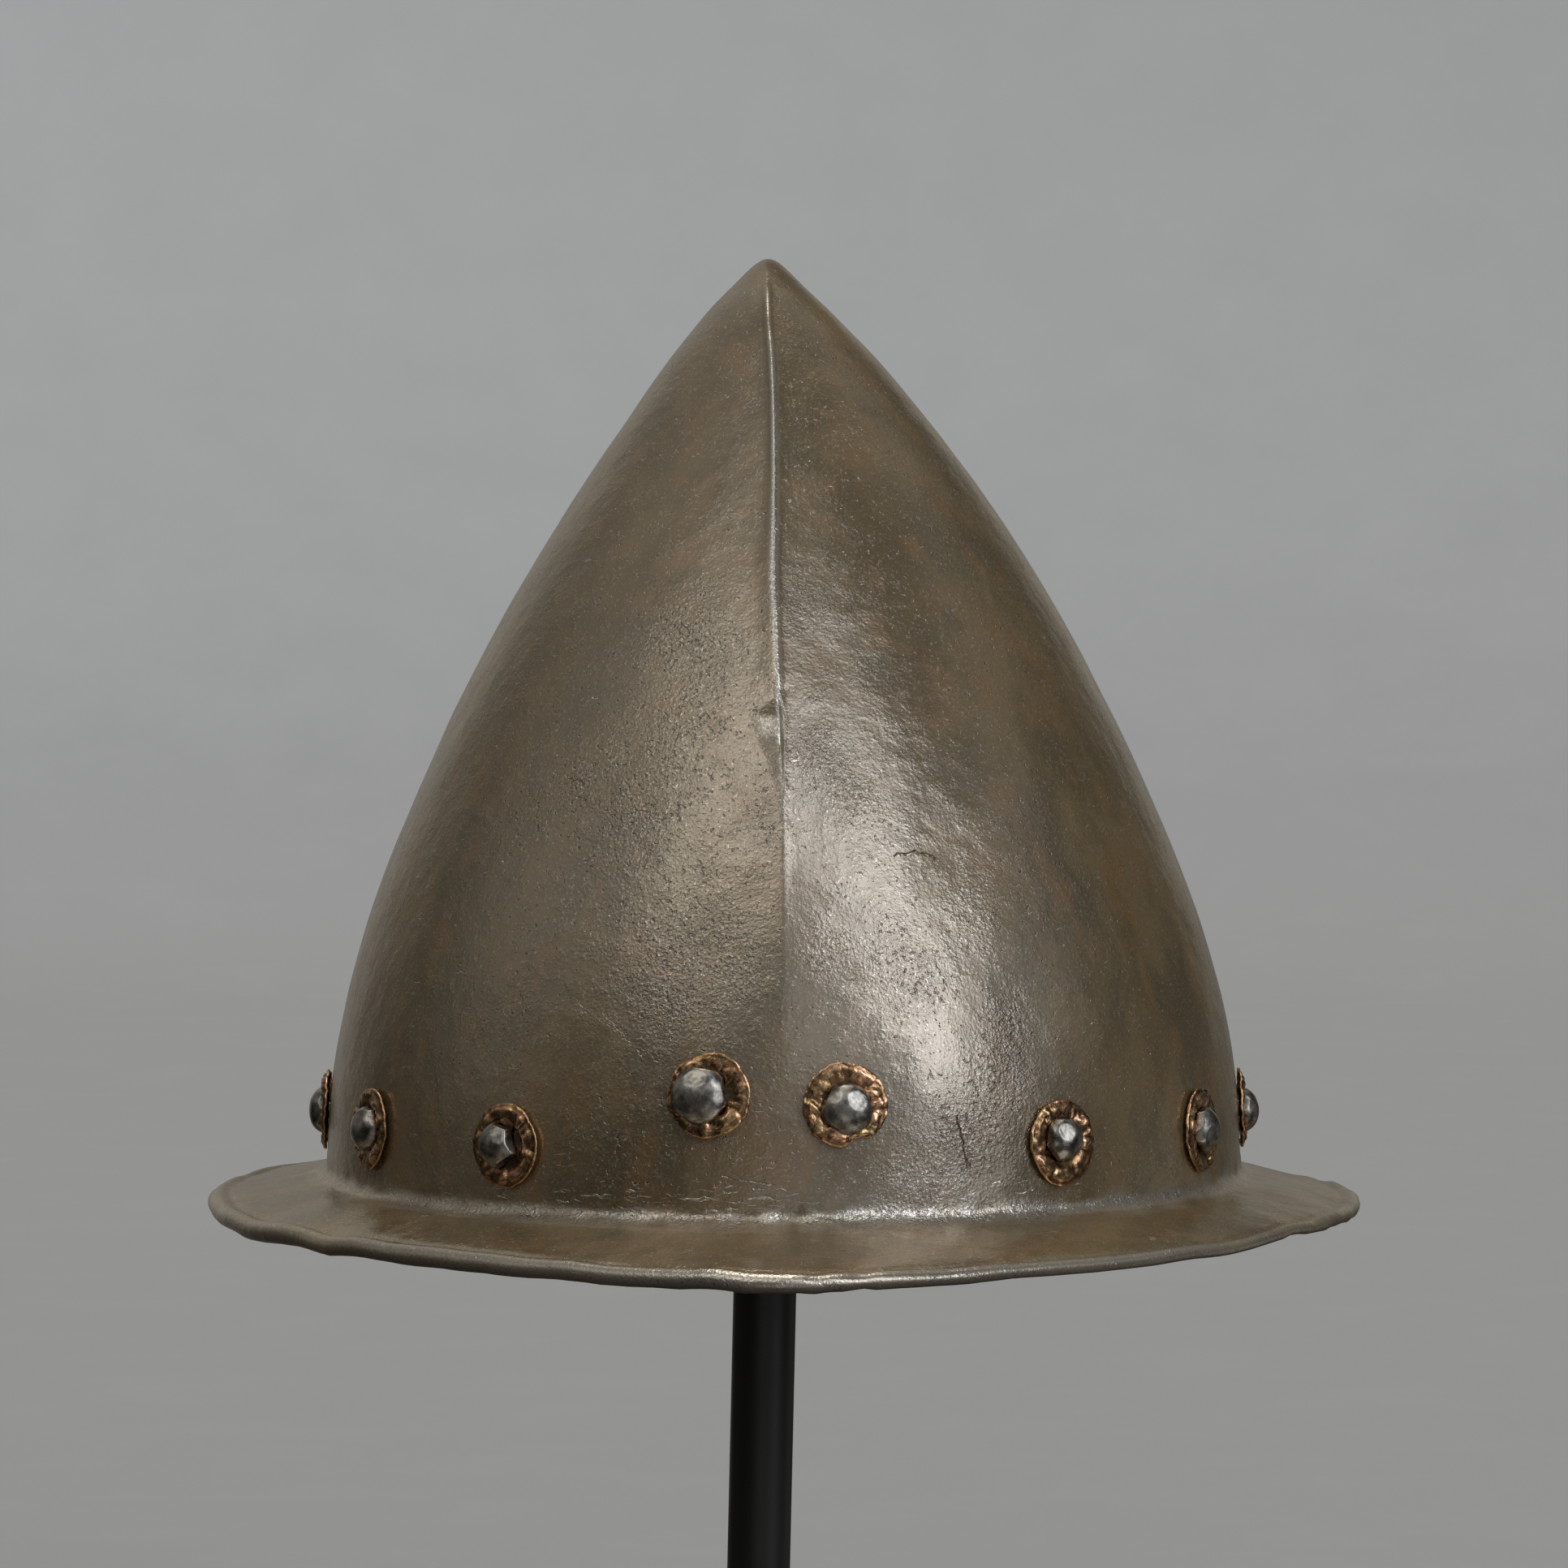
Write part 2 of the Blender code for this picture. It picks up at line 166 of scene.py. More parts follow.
# Patches where rust ate pits into the face: angle and rise as above, size in mm, and how many pits.
Pitting = namedtuple("Pitting", "angle rise size amount")
PITTINGS = table(
    Pitting,
    (-20, 100, 28, 0.6), (-14, 58, 20, 0.45), (24, 22, 15, 0.4), (36, 78, 13, 0.3), (-22, 128, 7, 0.8),
    (-13, 124, 7, 1), (-16, 106, 9, 0.5), (-34, 94, 6, 0.7), (-3, 88, 5, 0.6), (-23, 86, 9, 0.4),
    (-11, 58, 11, 1), (-5, 53, 7, 0.8), (-14, 50, 8, 1), (-42, 84, 8, 0.5), (-38, 43, 10, 0.35),
    (10, 91, 6, 1), (6, 101, 6, 0.7), (14, 56, 8, 0.6), (5, 57, 6, 0.9), (18, 51, 6, 0.8),
    (29, 42, 6, 1), (28, 31, 7, 0.8), (21, 17, 9, 0.6), (15, 4, 9, 0.9), (6, 134, 9, 0.4),
    (27, 66, 8, 0.6), (-19, 14, 12, 0.3), (95, 60, 22, 0.6), (150, 110, 18, 0.8), (-110, 90, 20, 0.7),
    (-160, 40, 20, 0.8),
)

# Scratches and cracks, from one place to another as above. deep is how deep they look next to their width,
# in mm, and bright ones are fresh enough to show metal.
Scratch = namedtuple("Scratch", "angle rise to_angle to_rise width deep bright")
SCRATCHES = table(
    Scratch,
    (16, 78.4, 19, 79.2, 0.8, 0.3, 0),
    (19, 79.2, 22, 77.4, 0.8, 0.35, 0),
    (21, 21.5, 22.4, 9.8, 0.6, 0.35, 0),
    (-27, 46.5, -15, 33.6, 0.25, 0.06, 0.3),
    (-23, 43.8, -17.4, 35, 0.3, 0.1, 0.8),
    (-7.2, 8.8, -1, 7.2, 0.45, 0.2, 0.9),
    (-10, 1.4, -6, 1.6, 0.5, 0.2, 0.9),
)
# Where things scraped round the foot of the skull and left dashes: angle, rise, half of what each takes up
# in degrees and in mm, and how many dashes.
Scraped = namedtuple("Scraped", "angle rise reach height amount")
SCRAPED = table(
    Scraped,
    (-5, 3.5, 9, 4.5, 1), (-20, 2.5, 8, 3, 0.7), (16, 8, 8, 8, 0.6), (-36, 2, 14, 3, 0.5),
    (30, 4, 12, 4, 0.4),
)
UNROLLED_DEGREE = 2.05  # mm to a degree round the skull, near enough, where most scratches are

# ---------------------------------------------------------------- rivets
# Each row is one pair of rivets: an angle from the front keel in degrees, and a rise above the skull's
# foot in mm, on the wearer's right (-X) and left (+X) sides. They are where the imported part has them.
RivetPair = namedtuple("RivetPair", "right_angle right_rise left_angle left_rise")
RIVET_PAIRS = table(
    RivetPair,
    (8.9, 26.5, 7.2, 24.4), (35.0, 14.6, 35.0, 15.2),
    (61.0, 14.6, 62.0, 14.3), (90.0, 13.8, 90.0, 14.3),
    (117.0, 14.4, 118.0, 14.0), (144.0, 14.2, 145.0, 14.8),
    (171.5, 14.6, 172.0, 14.0),
)
SHANK_RADIUS = 2 * MM
RIVET_SEAT = 1.2 * MM  # the head's underside, above the skull's outer face
CLENCH_TOP = 1.6 * MM  # the clenched end starts this far under the skull's outer face
CLENCH_RADIUS = 3.4 * MM
CLENCH_THICKNESS = 1.1 * MM

# Heads that sit off their rosettes' middles, by rivet number: mm to the side and up, radius in mm, how
# square the blows left the head, from 0 to 1, and how its largest flat faces, in degrees from its right and
# from straight out. The others are set at random.
Head = namedtuple("Head", "side up radius square flat tilt")
HEADS = {
    1: Head(0.4, -0.9, 5.9, 0.25, 42, 19),
    2: Head(-0.3, 0.8, 5.1, 0.4, 128, 21),
    8: Head(-2.0, 0.0, 6.6, 0.3, 98, 22),
    9: Head(-1.3, 0.0, 5.4, 0.9, 50, 29),
}
TEARS = {1: -72}  # where a rosette has lost a piece of its rim, in degrees from its right, by rivet number
ROSETTE_HOLE = 2.3 * MM
ROSETTE_GAP = 0.3 * MM  # between the rosette's flat middle and the skull
ROSETTE_SIDES = 112
ROSETTE_RINGS = 13
# What chance gives each rosette's lumps: their widths next to each other, their heights as shares of the
# setting, and how far out they are highest, as shares of the way to the rim.
ROSETTE_SEED = 40
LUMP_WIDTHS, LUMP_HEIGHTS, LUMP_MIDDLES = (0.6, 1.7), (0.35, 1.15), (0.62, 0.8)
CRUMPLE_WAVE = 2.6 * MM  # size of the folds that wander through a rosette
CRUMPLE_SHAKE = 0.3 * MM  # and how far they lift its rim
HEAD_REACH = 1.2  # the dome's height before the blows, as a share of the head's
SIDE_BLOWS, SIDE_TILT = 5, 84  # flats round the foot of the head
LARGEST_FLAT = 0.4  # how deep the largest flat is struck, in mm
# What chance gives each head: how far off its seat it sits and its radius in mm, how square it is, and how
# its largest flat and the other blows are tilted in degrees and how deep those are in mm.
HEAD_SHIFTS, HEAD_RADII, HEAD_SQUARE = (-0.7, 0.7), (5.0, 5.7), 0.3
FLAT_TILTS, BLOW_TILTS, BLOW_DEPTHS, BLOW_TURNS = (12, 30), (30, 50), (0.05, 0.25), (-18, 18)
GRAIN = 0.2 * MM  # of the voxels that a rivet is fused from


def linear(hex_colour):
    """An sRGB hex colour as the linear numbers that Blender works in."""
    parts = [int(hex_colour[i : i + 2], 16) / 255 for i in (0, 2, 4)]
    return tuple(p / 12.92 if p <= 0.04045 else ((p + 0.055) / 1.055) ** 2.4 for p in parts)


# ---------------------------------------------------------------- settings
def length_setting(name, description, millimetres):
    """A length that the user can change, with its default."""
    return bpy.props.FloatProperty(
        name=name, description=description, default=millimetres * MM, unit="LENGTH"
    )


def colour_setting(name, description, hex_colour):
    """A colour that the user can change, with its default."""
    return bpy.props.FloatVectorProperty(
        name=name, description=description, subtype="COLOR", default=linear(hex_colour)
    )


class PlateSettings(bpy.types.PropertyGroup):
    wall: length_setting("Wall", "Thickness of the hammered plate", 1.3)
    ridge_height: length_setting("Ridge height", "How far the bead along the keel stands out", 0.7)
    ridge_width: length_setting("Ridge width", "Half the width of the bead along the keel", 1.1)
    hammering: length_setting("Hammering", "Depth of the broad waves that the hammer left", 0.7)
    edge_radius: length_setting("Edge radius", "Radius of the brim's edge, turned under into a bead", 2.2)
    roughness: bpy.props.FloatProperty(
        name="Roughness", description="How blurred the oxide mirrors things", default=0.18, min=0.05, max=1
    )
    patina_dark: colour_setting("Dark patina", "Oiled oxide in the places that nothing rubs", "69593F")
    patina_light: colour_setting("Light patina", "Thinner, browner oxide", "877250")
    patina_warm: colour_setting("Warm patina", "Patches where old rust shows through the oil", "8A683F")
    patina_cool: colour_setting("Cool patina", "Greener patches of thick oxide", "675B40")
    pores: colour_setting("Pores", "Black in the pores of the face", "251E14")
    worn_iron: colour_setting("Worn iron", "Iron rubbed bright on the keel and the turned edge", "DCD5CA")


class RosetteSettings(bpy.types.PropertyGroup):
    radius: length_setting("Radius", "From the rivet's middle to the rosette's rim", 9.4)
    sheet: length_setting("Sheet", "Thickness of the copper sheet", 0.5)
    crumple: length_setting("Crumple", "Height of the lumps pressed into the sheet", 1.3)
    lumps: bpy.props.IntProperty(name="Lumps", description="How many lumps go round", default=10)
    copper: colour_setting("Copper", "The alloy where it is rubbed", "ECB792")
    tarnish: colour_setting("Tarnish", "Brown skin on the alloy", "8E6D4E")
    brass: colour_setting("Brass", "Yellower patches of the alloy", "CFAE7E")
    grime: colour_setting("Grime", "Dirt and wax in the creases", "463B2F")


class RivetSettings(bpy.types.PropertyGroup):
    height: length_setting("Head height", "How far the head stands above its seat", 3.3)
    facets: bpy.props.IntProperty(
        name="Facets", description="Hammer blows that left a flat on each head", default=4
    )
    scale: colour_setting("Scale", "Black forge scale left between the blows", "2A2826")
    iron: colour_setting("Iron", "Rivet heads, cleaner than the plate", "B5B0A8")


class StandSettings(bpy.types.PropertyGroup):
    paint: colour_setting("Paint", "Satin black paint on the post and base", "2B2A28")
    felt: colour_setting("Felt", "Felt on the rest inside the crown", "1E1D1C")
    dust: colour_setting("Dust", "Grey that dust and wear give the black parts", "35322F")


class StageSettings(bpy.types.PropertyGroup):
    distance: length_setting("Camera distance", "From the camera to the helmet's middle", 1780)
    lens: bpy.props.FloatProperty(name="Lens", description="Focal length in mm", default=173.0)
    # One grey paper: the darker colour towards its foot and on the floor is painted shade, where less light
    # falls.
    paper_high: colour_setting("Paper, high", "Grey backdrop paper up the wall", "EDEDEC")
    paper_shaded_low: colour_setting("Paper, low", "Grey backdrop paper at its foot and on the floor", "C5C5C5")


SETTINGS = {
    "cabasset_plate": PlateSettings,
    "cabasset_rosettes": RosetteSettings,
    "cabasset_rivets": RivetSettings,
    "cabasset_stand": StandSettings,
    "cabasset_stage": StageSettings,
}


# ---------------------------------------------------------------- the skull's and the brim's surfaces
def section_at(row):
    """The skull's section at a fractional row of its table, on a smooth curve through all rows."""
    low = min(int(row), len(SKULL) - 2)
    share = row - low
    rows = [SKULL[min(max(low + step, 0), len(SKULL) - 1)] for step in (-1, 0, 1, 2)]
    values = []
    for before, start, end, after in zip(*rows):
        leaving, arriving = (end - before) / 2, (after - start) / 2
        values.append(
            (2 * share**3 - 3 * share**2 + 1) * start
            + (share**3 - 2 * share**2 + share) * leaving
            + (3 * share**2 - 2 * share**3) * end
            + (share**3 - share**2) * arriving
        )
    return Section(*values)


def skull_point(row, angle):
    """A point on the skull's outer face. angle runs round from the front keel, towards +X."""
    section = section_at(row)
    front = Vector((0, section.front_y, section.front_rise))
    back = Vector((0, section.back_y, section.back_rise))
    side = section.half_width * math.sin(angle)
    wander = float(np.interp(section.front_rise, CREST_RISES, CREST_SHIFTS)) * max(0, math.cos(angle))
    crest_reach = CREST_WIDTH + CREST_SPREAD * section.half_width
    hollow_beside_crest = section.keel * (1 - math.exp(-abs(side + wander) / crest_reach))
    along = back - front
    half_length = along.length / 2 - hollow_beside_crest * abs(math.cos(angle))
    point = (front + back) / 2 - along.normalized() * half_length * math.cos(angle)
    point.x = side - section.lean
    return point * MM + Vector((0, 0, FOOT_HEIGHT))


def skull_normal(row, angle):
    """The outward normal of the skull's outer face."""
    step = 0.01
    up = skull_point(row + step, angle) - skull_point(row - step, angle)
    around = skull_point(row, angle + step) - skull_point(row, angle - step)
    return around.cross(up).normalized()


def outline_point(angle):
    """A point on the outermost line of the brim, seen from above."""
    roundness = 1 - BRIM_POINT * (1 - abs(math.sin(angle))) ** BRIM_POINT_REACH
    return Vector((BRIM_HALF_WIDTH * math.sin(angle) * roundness, -BRIM_HALF_LENGTH * math.cos(angle), 0))


def inside_outline(angle, setback):
    """A point this far in from the brim's outermost line, and the direction straight out from it."""
    step = 0.01
    along = outline_point(angle + step) - outline_point(angle - step)
    outward = Vector((along.y, -along.x, 0)).normalized()
    return outline_point(angle) - outward * setback, outward


def brim_drop(angle):
    """How far the middle of the turned edge lies below the skull's foot."""
    return SIDE_DROP + (END_DROP - SIDE_DROP) * math.cos(angle) ** 2


def edge_size(angle, fullest):
    """The turned edge's radius at an angle, where fullest is its radius at the front."""
    degrees = (math.degrees(angle) + 180) % 360 - 180
    return fullest * float(np.interp(degrees, EDGE_ANGLES, EDGE_RADII)) / (EDGE_RADIUS / MM)


def brim_point(share, angle):
    """A point on the brim's upper face, at a share of its width from the skull's foot."""
    radius = edge_size(angle, EDGE_RADIUS)
    plate_end, _ = inside_outline(angle, EDGE_SETBACK * radius / EDGE_RADIUS)
    point = skull_point(0, angle).lerp(plate_end, share)
    point.z = FOOT_HEIGHT + (EDGE_TOP - 2 * (EDGE_RADIUS - radius) - brim_drop(angle)) * share
    point.z -= FOOT_SINK * (1 - share) ** 2
    return point


def bead_point(degrees, angle, fullest):
    """A point on the turned edge, at this angle round it from its outermost line."""
    radius = edge_size(angle, fullest)
    middle, outward = inside_outline(angle, radius)
    middle.z = FOOT_HEIGHT - brim_drop(angle) - (fullest - radius)
    turn = math.radians(degrees)
    radius *= min(1, math.cos(BEVEL_REACH) / max(0.1, math.cos(turn - BEVEL_FACES)))
    return middle + (outward * math.cos(turn) + Vector((0, 0, math.sin(turn)))) * radius


def fillet_point(share, angle):
    """Between the skull's wall and the brim: share 0 is on the wall, 1 is on the brim."""
    brim_width = (brim_point(1, angle) - brim_point(0, angle)).length
    wall = skull_point(FOOT_ROW, angle)
    corner = brim_point(0, angle)
    brim = brim_point(FOOT_FILLET / brim_width, angle)
    return (1 - share) ** 2 * wall + 2 * share * (1 - share) * corner + share**2 * brim


# ---------------------------------------------------------------- small tools
def start_fresh():
    """Object mode with nothing selected."""
    if bpy.context.object and bpy.context.object.mode != "OBJECT":
        bpy.ops.object.mode_set(mode="OBJECT")
    bpy.ops.object.select_all(action="DESELECT")


def select_only(piece):
    """This piece selected and active, and no other."""
    start_fresh()
    piece.select_set(True)
    bpy.context.view_layer.objects.active = piece


def apply_modifier(piece, kind, **settings):
    """Adds a modifier with these settings and applies it."""
    select_only(piece)
    modifier = piece.modifiers.new(kind.lower(), kind)
    for name, value in settings.items():
        setattr(modifier, name, value)
    bpy.ops.object.modifier_apply(modifier=modifier.name)


def copy_of(piece, name):
    """The piece again, with its own mesh."""
    made = bpy.data.objects.new(name, piece.data.copy())
    bpy.context.scene.collection.objects.link(made)
    return made


def finish_piece(piece, material, slot, *nodes):
    """Shades and paints a finished piece, and puts it in place of these CAD nodes."""
    piece.data.materials.clear()
    piece.data.materials.append(material)
    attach(piece, "root")
    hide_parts(*nodes)


def points_of(mesh):
    """All the mesh's points, in rows of x, y and z."""
    points = np.zeros(len(mesh.vertices) * 3, np.float32)
    mesh.vertices.foreach_get("co", points)
    return points.reshape(-1, 3)


def mark_points(mesh, name, values, kind="FLOAT"):
    """Gives each point of the mesh a number or a vector, for its material to read."""
    places = mesh.attributes.new(name, kind, "POINT").data
    field = "value" if kind == "FLOAT" else "vector"
    places.foreach_set(field, np.asarray(values, np.float32).ravel())


def tilted(azimuth, tilt):
    """A direction this far from +Z, in degrees. Azimuth 0 is towards +X, and 90 is towards +Y."""
    azimuth, tilt = math.radians(azimuth), math.radians(tilt)
    flat = math.sin(tilt)
    return Vector((math.cos(azimuth) * flat, math.sin(azimuth) * flat, math.cos(tilt)))


def clouds(size):
    """A soft random pattern with lumps about this large, for a Displace modifier."""
    texture = bpy.data.textures.new("clouds", "CLOUDS")
    texture.noise_scale = size
    texture.noise_depth = 1
    return texture


def add_node(material, kind, settings=None, *values, **links):
    """Adds a node. settings are its own options. values fill its sockets from the first on, and links fill
    them by name. Each is a number, a colour, an output, or a node, which stands for its first output."""
    node = material.node_tree.nodes.new("ShaderNode" + kind)
    for name, value in (settings or {}).items():
        setattr(node, name, value)
    usable = [socket for socket in node.inputs if socket.enabled]
    filled = list(zip(usable, values))
    for name, value in links.items():
        filled.append((next(socket for socket in usable if socket.name == name.replace("_", " ")), value))
    for socket, value in filled:
        if isinstance(value, bpy.types.Node):
            value = next(output for output in value.outputs if output.enabled)
        if isinstance(value, bpy.types.NodeSocket):
            material.node_tree.links.new(value, socket)
        else:
            socket.default_value = (*value, 1) if socket.type == "RGBA" and len(value) == 3 else value
    return node


# Settings that several nodes share.
ADD, LESS, TIMES, TIMES_ADD, LARGER, DOT = (
    {"operation": name}
    for name in ("ADD", "SUBTRACT", "MULTIPLY", "MULTIPLY_ADD", "MAXIMUM", "DOT_PRODUCT")
)
COLOURS = {"data_type": "RGBA"}


def lumps(node, vector, size, ends, stretched=(0, 1), detail=3.0, roughness=0.6):
    """Noise with lumps of this size in mm, its values between the two ends stretched to these numbers."""
    pattern = node("TexNoise", Vector=vector, Scale=1 / (size * MM), Detail=detail, Roughness=roughness)
    low, high = stretched
    return node("MapRange", Value=pattern, From_Min=ends[0], From_Max=ends[1], To_Min=low, To_Max=high)


def new_material(name):
    """An empty node material, a function that adds nodes to it, and the place that its patterns follow."""
    material = bpy.data.materials.new(name)
    material.use_nodes = True
    material.node_tree.nodes.clear()
    node = partial(add_node, material)
    return material, node, node("TexCoord").outputs["Object"]


# ---------------------------------------------------------------- finishes
OXIDE_IOR = 3.2  # between magnetite and haematite, which run from 2.4 to 3.2
OXIDE_TINT = (1, 0.89, 0.775)  # of what the oiled oxide mirrors
SKY_GLOW = 0.02  # brightness of the sky between the lamps


def scratch_lines(node, place):
    """How deep the scratches and cracks are at each place in mm, and how bright their metal is."""
    unrolled = node("Attribute", {"attribute_name": "unrolled"}).outputs["Vector"]
    shake = node("TexNoise", Vector=place, Scale=1 / (2.2 * MM), Detail=2.0)
    to_mm = Vector((UNROLLED_DEGREE, 1, 0))
    shift = Vector((1.8, 1.8, 0))
    flat = node("VectorMath", TIMES, unrolled, to_mm)
    flat = node("VectorMath", TIMES_ADD, shake, shift, flat)

    # Dashes about 7 mm long and 0.6 mm wide run round the helmet where it was scraped.
    dashes = node("Mapping", Vector=flat, Scale=(0.12, 1.3, 1))
    dashes = node("TexNoise", Vector=dashes, Scale=1.0, Detail=1.0)
    scraped = node("SeparateXYZ", None, unrolled).outputs["Z"]
    enough = node("Math", TIMES_ADD, scraped, 0.2, dashes)
    bright = node("MapRange", Value=enough, From_Min=0.74, From_Max=0.8)
    cut = node("Math", TIMES, bright, 0.12)
    for scratch in SCRATCHES:
        start = Vector((scratch.angle, scratch.rise, 0)) * to_mm + shift / 2
        along = Vector((scratch.to_angle, scratch.to_rise, 0)) * to_mm + shift / 2 - start
        offset = node("VectorMath", LESS, flat, start)
        unit = along / along.length_squared
        share = node("VectorMath", DOT, offset, unit)
        share = node("Clamp", None, share)
        nearest = node("VectorMath", {"operation": "SCALE"}, along, share)
        apart = node("VectorMath", {"operation": "DISTANCE"}, offset, nearest)
        line = node("MapRange", Value=apart, From_Min=scratch.width / 2, From_Max=0.0)
        cut = node("Math", TIMES_ADD, line, scratch.deep, cut)
        if scratch.bright:
            bright = node("Math", TIMES_ADD, line, scratch.bright, bright)
    return cut, bright


def patinated_iron(settings):
    """Hammered wrought iron under a skin of dark oxide, oil and wax. The skin is glassy, and its brown
    shows best where little light is mirrored. Pits and grain break the gloss up."""
    material, node, place = new_material("patinated hammered iron")
    worn, pitted, rusted = (
        node("Attribute", {"attribute_name": name}).outputs["Fac"] for name in ("worn", "pitted", "rusted")
    )
    streaked = node("Mapping", Vector=place, Scale=(1, 1, 0.55))

    # Grains stand proud of the face, coarsest in crowds and where it is worn.
    swell = node("TexNoise", Vector=place, Scale=1 / (5 * MM), Detail=2.0)
    crowd = node("MapRange", Value=swell, From_Min=0.45, From_Max=0.75, To_Max=0.45)
    crowd = node("Math", ADD, crowd, pitted)
    grain = node("TexNoise", Vector=place, Scale=1 / (0.7 * MM), Detail=2.0, Roughness=0.6)
    coarse = node("MapRange", Value=crowd, To_Min=0.065, To_Max=0.23)
    coarse = node("Math", TIMES_ADD, worn, 0.05, coarse)
    # Rust leaves ragged pits of 0.5 to 1 mm, in the crowds and here and there.
    eaten = node("TexNoise", Vector=place, Scale=1 / (1.1 * MM), Detail=2.0, Roughness=0.6)
    eaten = node("Math", TIMES_ADD, crowd, -0.11, eaten)
    pits = node("MapRange", {"interpolation_type": "SMOOTHSTEP"}, Value=eaten, From_Min=0.35, From_Max=0.22)
    cut, bright = scratch_lines(node, place)

    # Brown oxide has greener and rustier patches, each a few mm across, and is darker between the grains.
    thin = lumps(node, streaked, 22, (0.38, 0.62))
    skin = node("Mix", COLOURS, thin, settings.patina_dark, settings.patina_light)
    rusty = lumps(node, streaked, 9, (0.5, 0.66), (0, 0.7), 5.0)
    rusted = node("Math", {"operation": "ADD", "use_clamp": True}, rusty, rusted)
    skin = node("Mix", COLOURS, rusted, skin, settings.patina_warm)
    green = lumps(node, streaked, 13, (0.52, 0.68), (0, 0.8), 4.0)
    skin = node("Mix", COLOURS, green, skin, settings.patina_cool)
    dark = node("MapRange", Value=grain, From_Min=0.5, From_Max=0.32, To_Max=2.6)
    dark = node("Math", TIMES, dark, coarse)
    dark = node("Math", LARGER, dark, pits)
    skin = node("Mix", COLOURS, dark, skin, settings.pores)

    # Metal shows on the keel and the turned edge, in scratches, and on the proudest grains.
    proud = node("Math", TIMES_ADD, crowd, 0.05, grain)
    specks = node("MapRange", Value=proud, From_Min=0.62, From_Max=0.71, To_Max=0.85)
    rubbed = node("MapRange", Value=grain, From_Min=0.3, From_Max=0.5, To_Min=0.4)
    rubbed = node("Math", TIMES_ADD, rubbed, worn, specks)
    metal = node("Math", {"operation": "MAXIMUM", "use_clamp": True}, rubbed, bright)
    colour = node("Mix", COLOURS, metal, skin, settings.worn_iron)

    # Heights are in mm.
    height = node("Math", TIMES, grain, coarse)
    height = node("Math", TIMES_ADD, swell, 0.16, height)
    height = node("Math", TIMES_ADD, pits, -0.12, height)
    height = node("Math", LESS, height, cut)
    bump = node("Bump", Height=height, Distance=MM)

    # Rusty patches are rougher, and the cleanest skin is a little smoother than the setting.
    gloss = node("Math", TIMES_ADD, rusty, 0.1, settings.roughness - 0.03)
    skin = {"IOR": OXIDE_IOR, "Specular_Tint": OXIDE_TINT}
    shader = node("BsdfPrincipled", Base_Color=colour, Metallic=metal, Roughness=gloss, Normal=bump, **skin)
    node("OutputMaterial", Surface=shader)
    return material


def tarnished_copper(settings):
    """Thin copper alloy sheet: rubbed on its lumps, brown on its slopes, black in its creases."""
    material, node, place = new_material("tarnished copper sheet")
    height = node("Attribute", {"attribute_name": "height"}).outputs["Fac"]
    stained = lumps(node, place, 2.4, (0.3, 0.7), (-0.2, 0.2), 4.0)
    rubbed = node("Math", ADD, height, stained)
    brassy = lumps(node, place, 5, (0.42, 0.58))
    alloy = node("Mix", COLOURS, brassy, settings.copper, settings.brass)
    shine = node("MapRange", Value=rubbed, From_Min=0.3, From_Max=0.8)
    skin = node("Mix", COLOURS, shine, settings.tarnish, alloy)
    clean = node("MapRange", Value=rubbed, From_Max=0.22)
    colour = node("Mix", COLOURS, clean, settings.grime, skin)
    gloss = node("MapRange", Value=clean, To_Min=0.55, To_Max=0.2)
    metal = node("MapRange", Value=clean, To_Min=0.2)
    dimples = lumps(node, place, 1.5, (0, 1), (0, 0.18), 2.0)
    bump = node("Bump", Height=dimples, Distance=MM)
    shader = node("BsdfPrincipled", Base_Color=colour, Metallic=metal, Roughness=gloss, Normal=bump)
    node("OutputMaterial", Surface=shader)
    return material


def rivet_iron(settings):
    """Forged iron, flattened by the hammer and rubbed grey, with black scale left in specks."""
    material, node, place = new_material("hammered rivet iron")
    clean = lumps(node, place, 2.6, (0.36, 0.6), (0.25, 1), 4.0)
    colour = node("Mix", COLOURS, clean, settings.scale, settings.iron)
    grain = lumps(node, place, 0.9, (0, 1), (0, 0.06), 3.0)
    bump = node("Bump", Height=grain, Distance=MM)
    gloss = lumps(node, place, 1.8, (0.3, 0.7), (0.2, 0.34), 3.0)
    shader = node("BsdfPrincipled", Base_Color=colour, Metallic=0.95, Roughness=gloss, Normal=bump)
    node("OutputMaterial", Surface=shader)
    return material


def satin_paint(settings):
    """Sprayed satin black paint: smooth, with a faint orange peel and a breath of dust."""
    material, node, place = new_material("satin black paint")
    dusty = lumps(node, place, 18, (0.35, 0.75), (0, 0.3), 5.0)
    colour = node("Mix", COLOURS, dusty, settings.paint, settings.dust)
    gloss = lumps(node, place, 9, (0.3, 0.7), (0.36, 0.46), 4.0)
    peel = lumps(node, place, 0.9, (0, 1), (0, 0.02), 2.0)
    bump = node("Bump", Height=peel, Distance=MM)
    shader = node("BsdfPrincipled", Base_Color=colour, Roughness=gloss, Normal=bump)
    node("OutputMaterial", Surface=shader)
    return material


def wool_felt(settings):
    """Pressed wool felt: matt, with short tangled hairs that catch the light at its edge."""
    material, node, place = new_material("black wool felt")
    hairs = node("TexNoise", Vector=place, Scale=1 / (0.5 * MM), Detail=4.0, Distortion=2.5)
    colour = node("Mix", COLOURS, hairs, settings.felt, settings.dust)
    bump = node("Bump", Height=hairs, Distance=0.25 * MM)
    shader = node("BsdfPrincipled", Base_Color=colour, Roughness=0.95, Sheen_Weight=0.25, Normal=bump)
    node("OutputMaterial", Surface=shader)
    return material


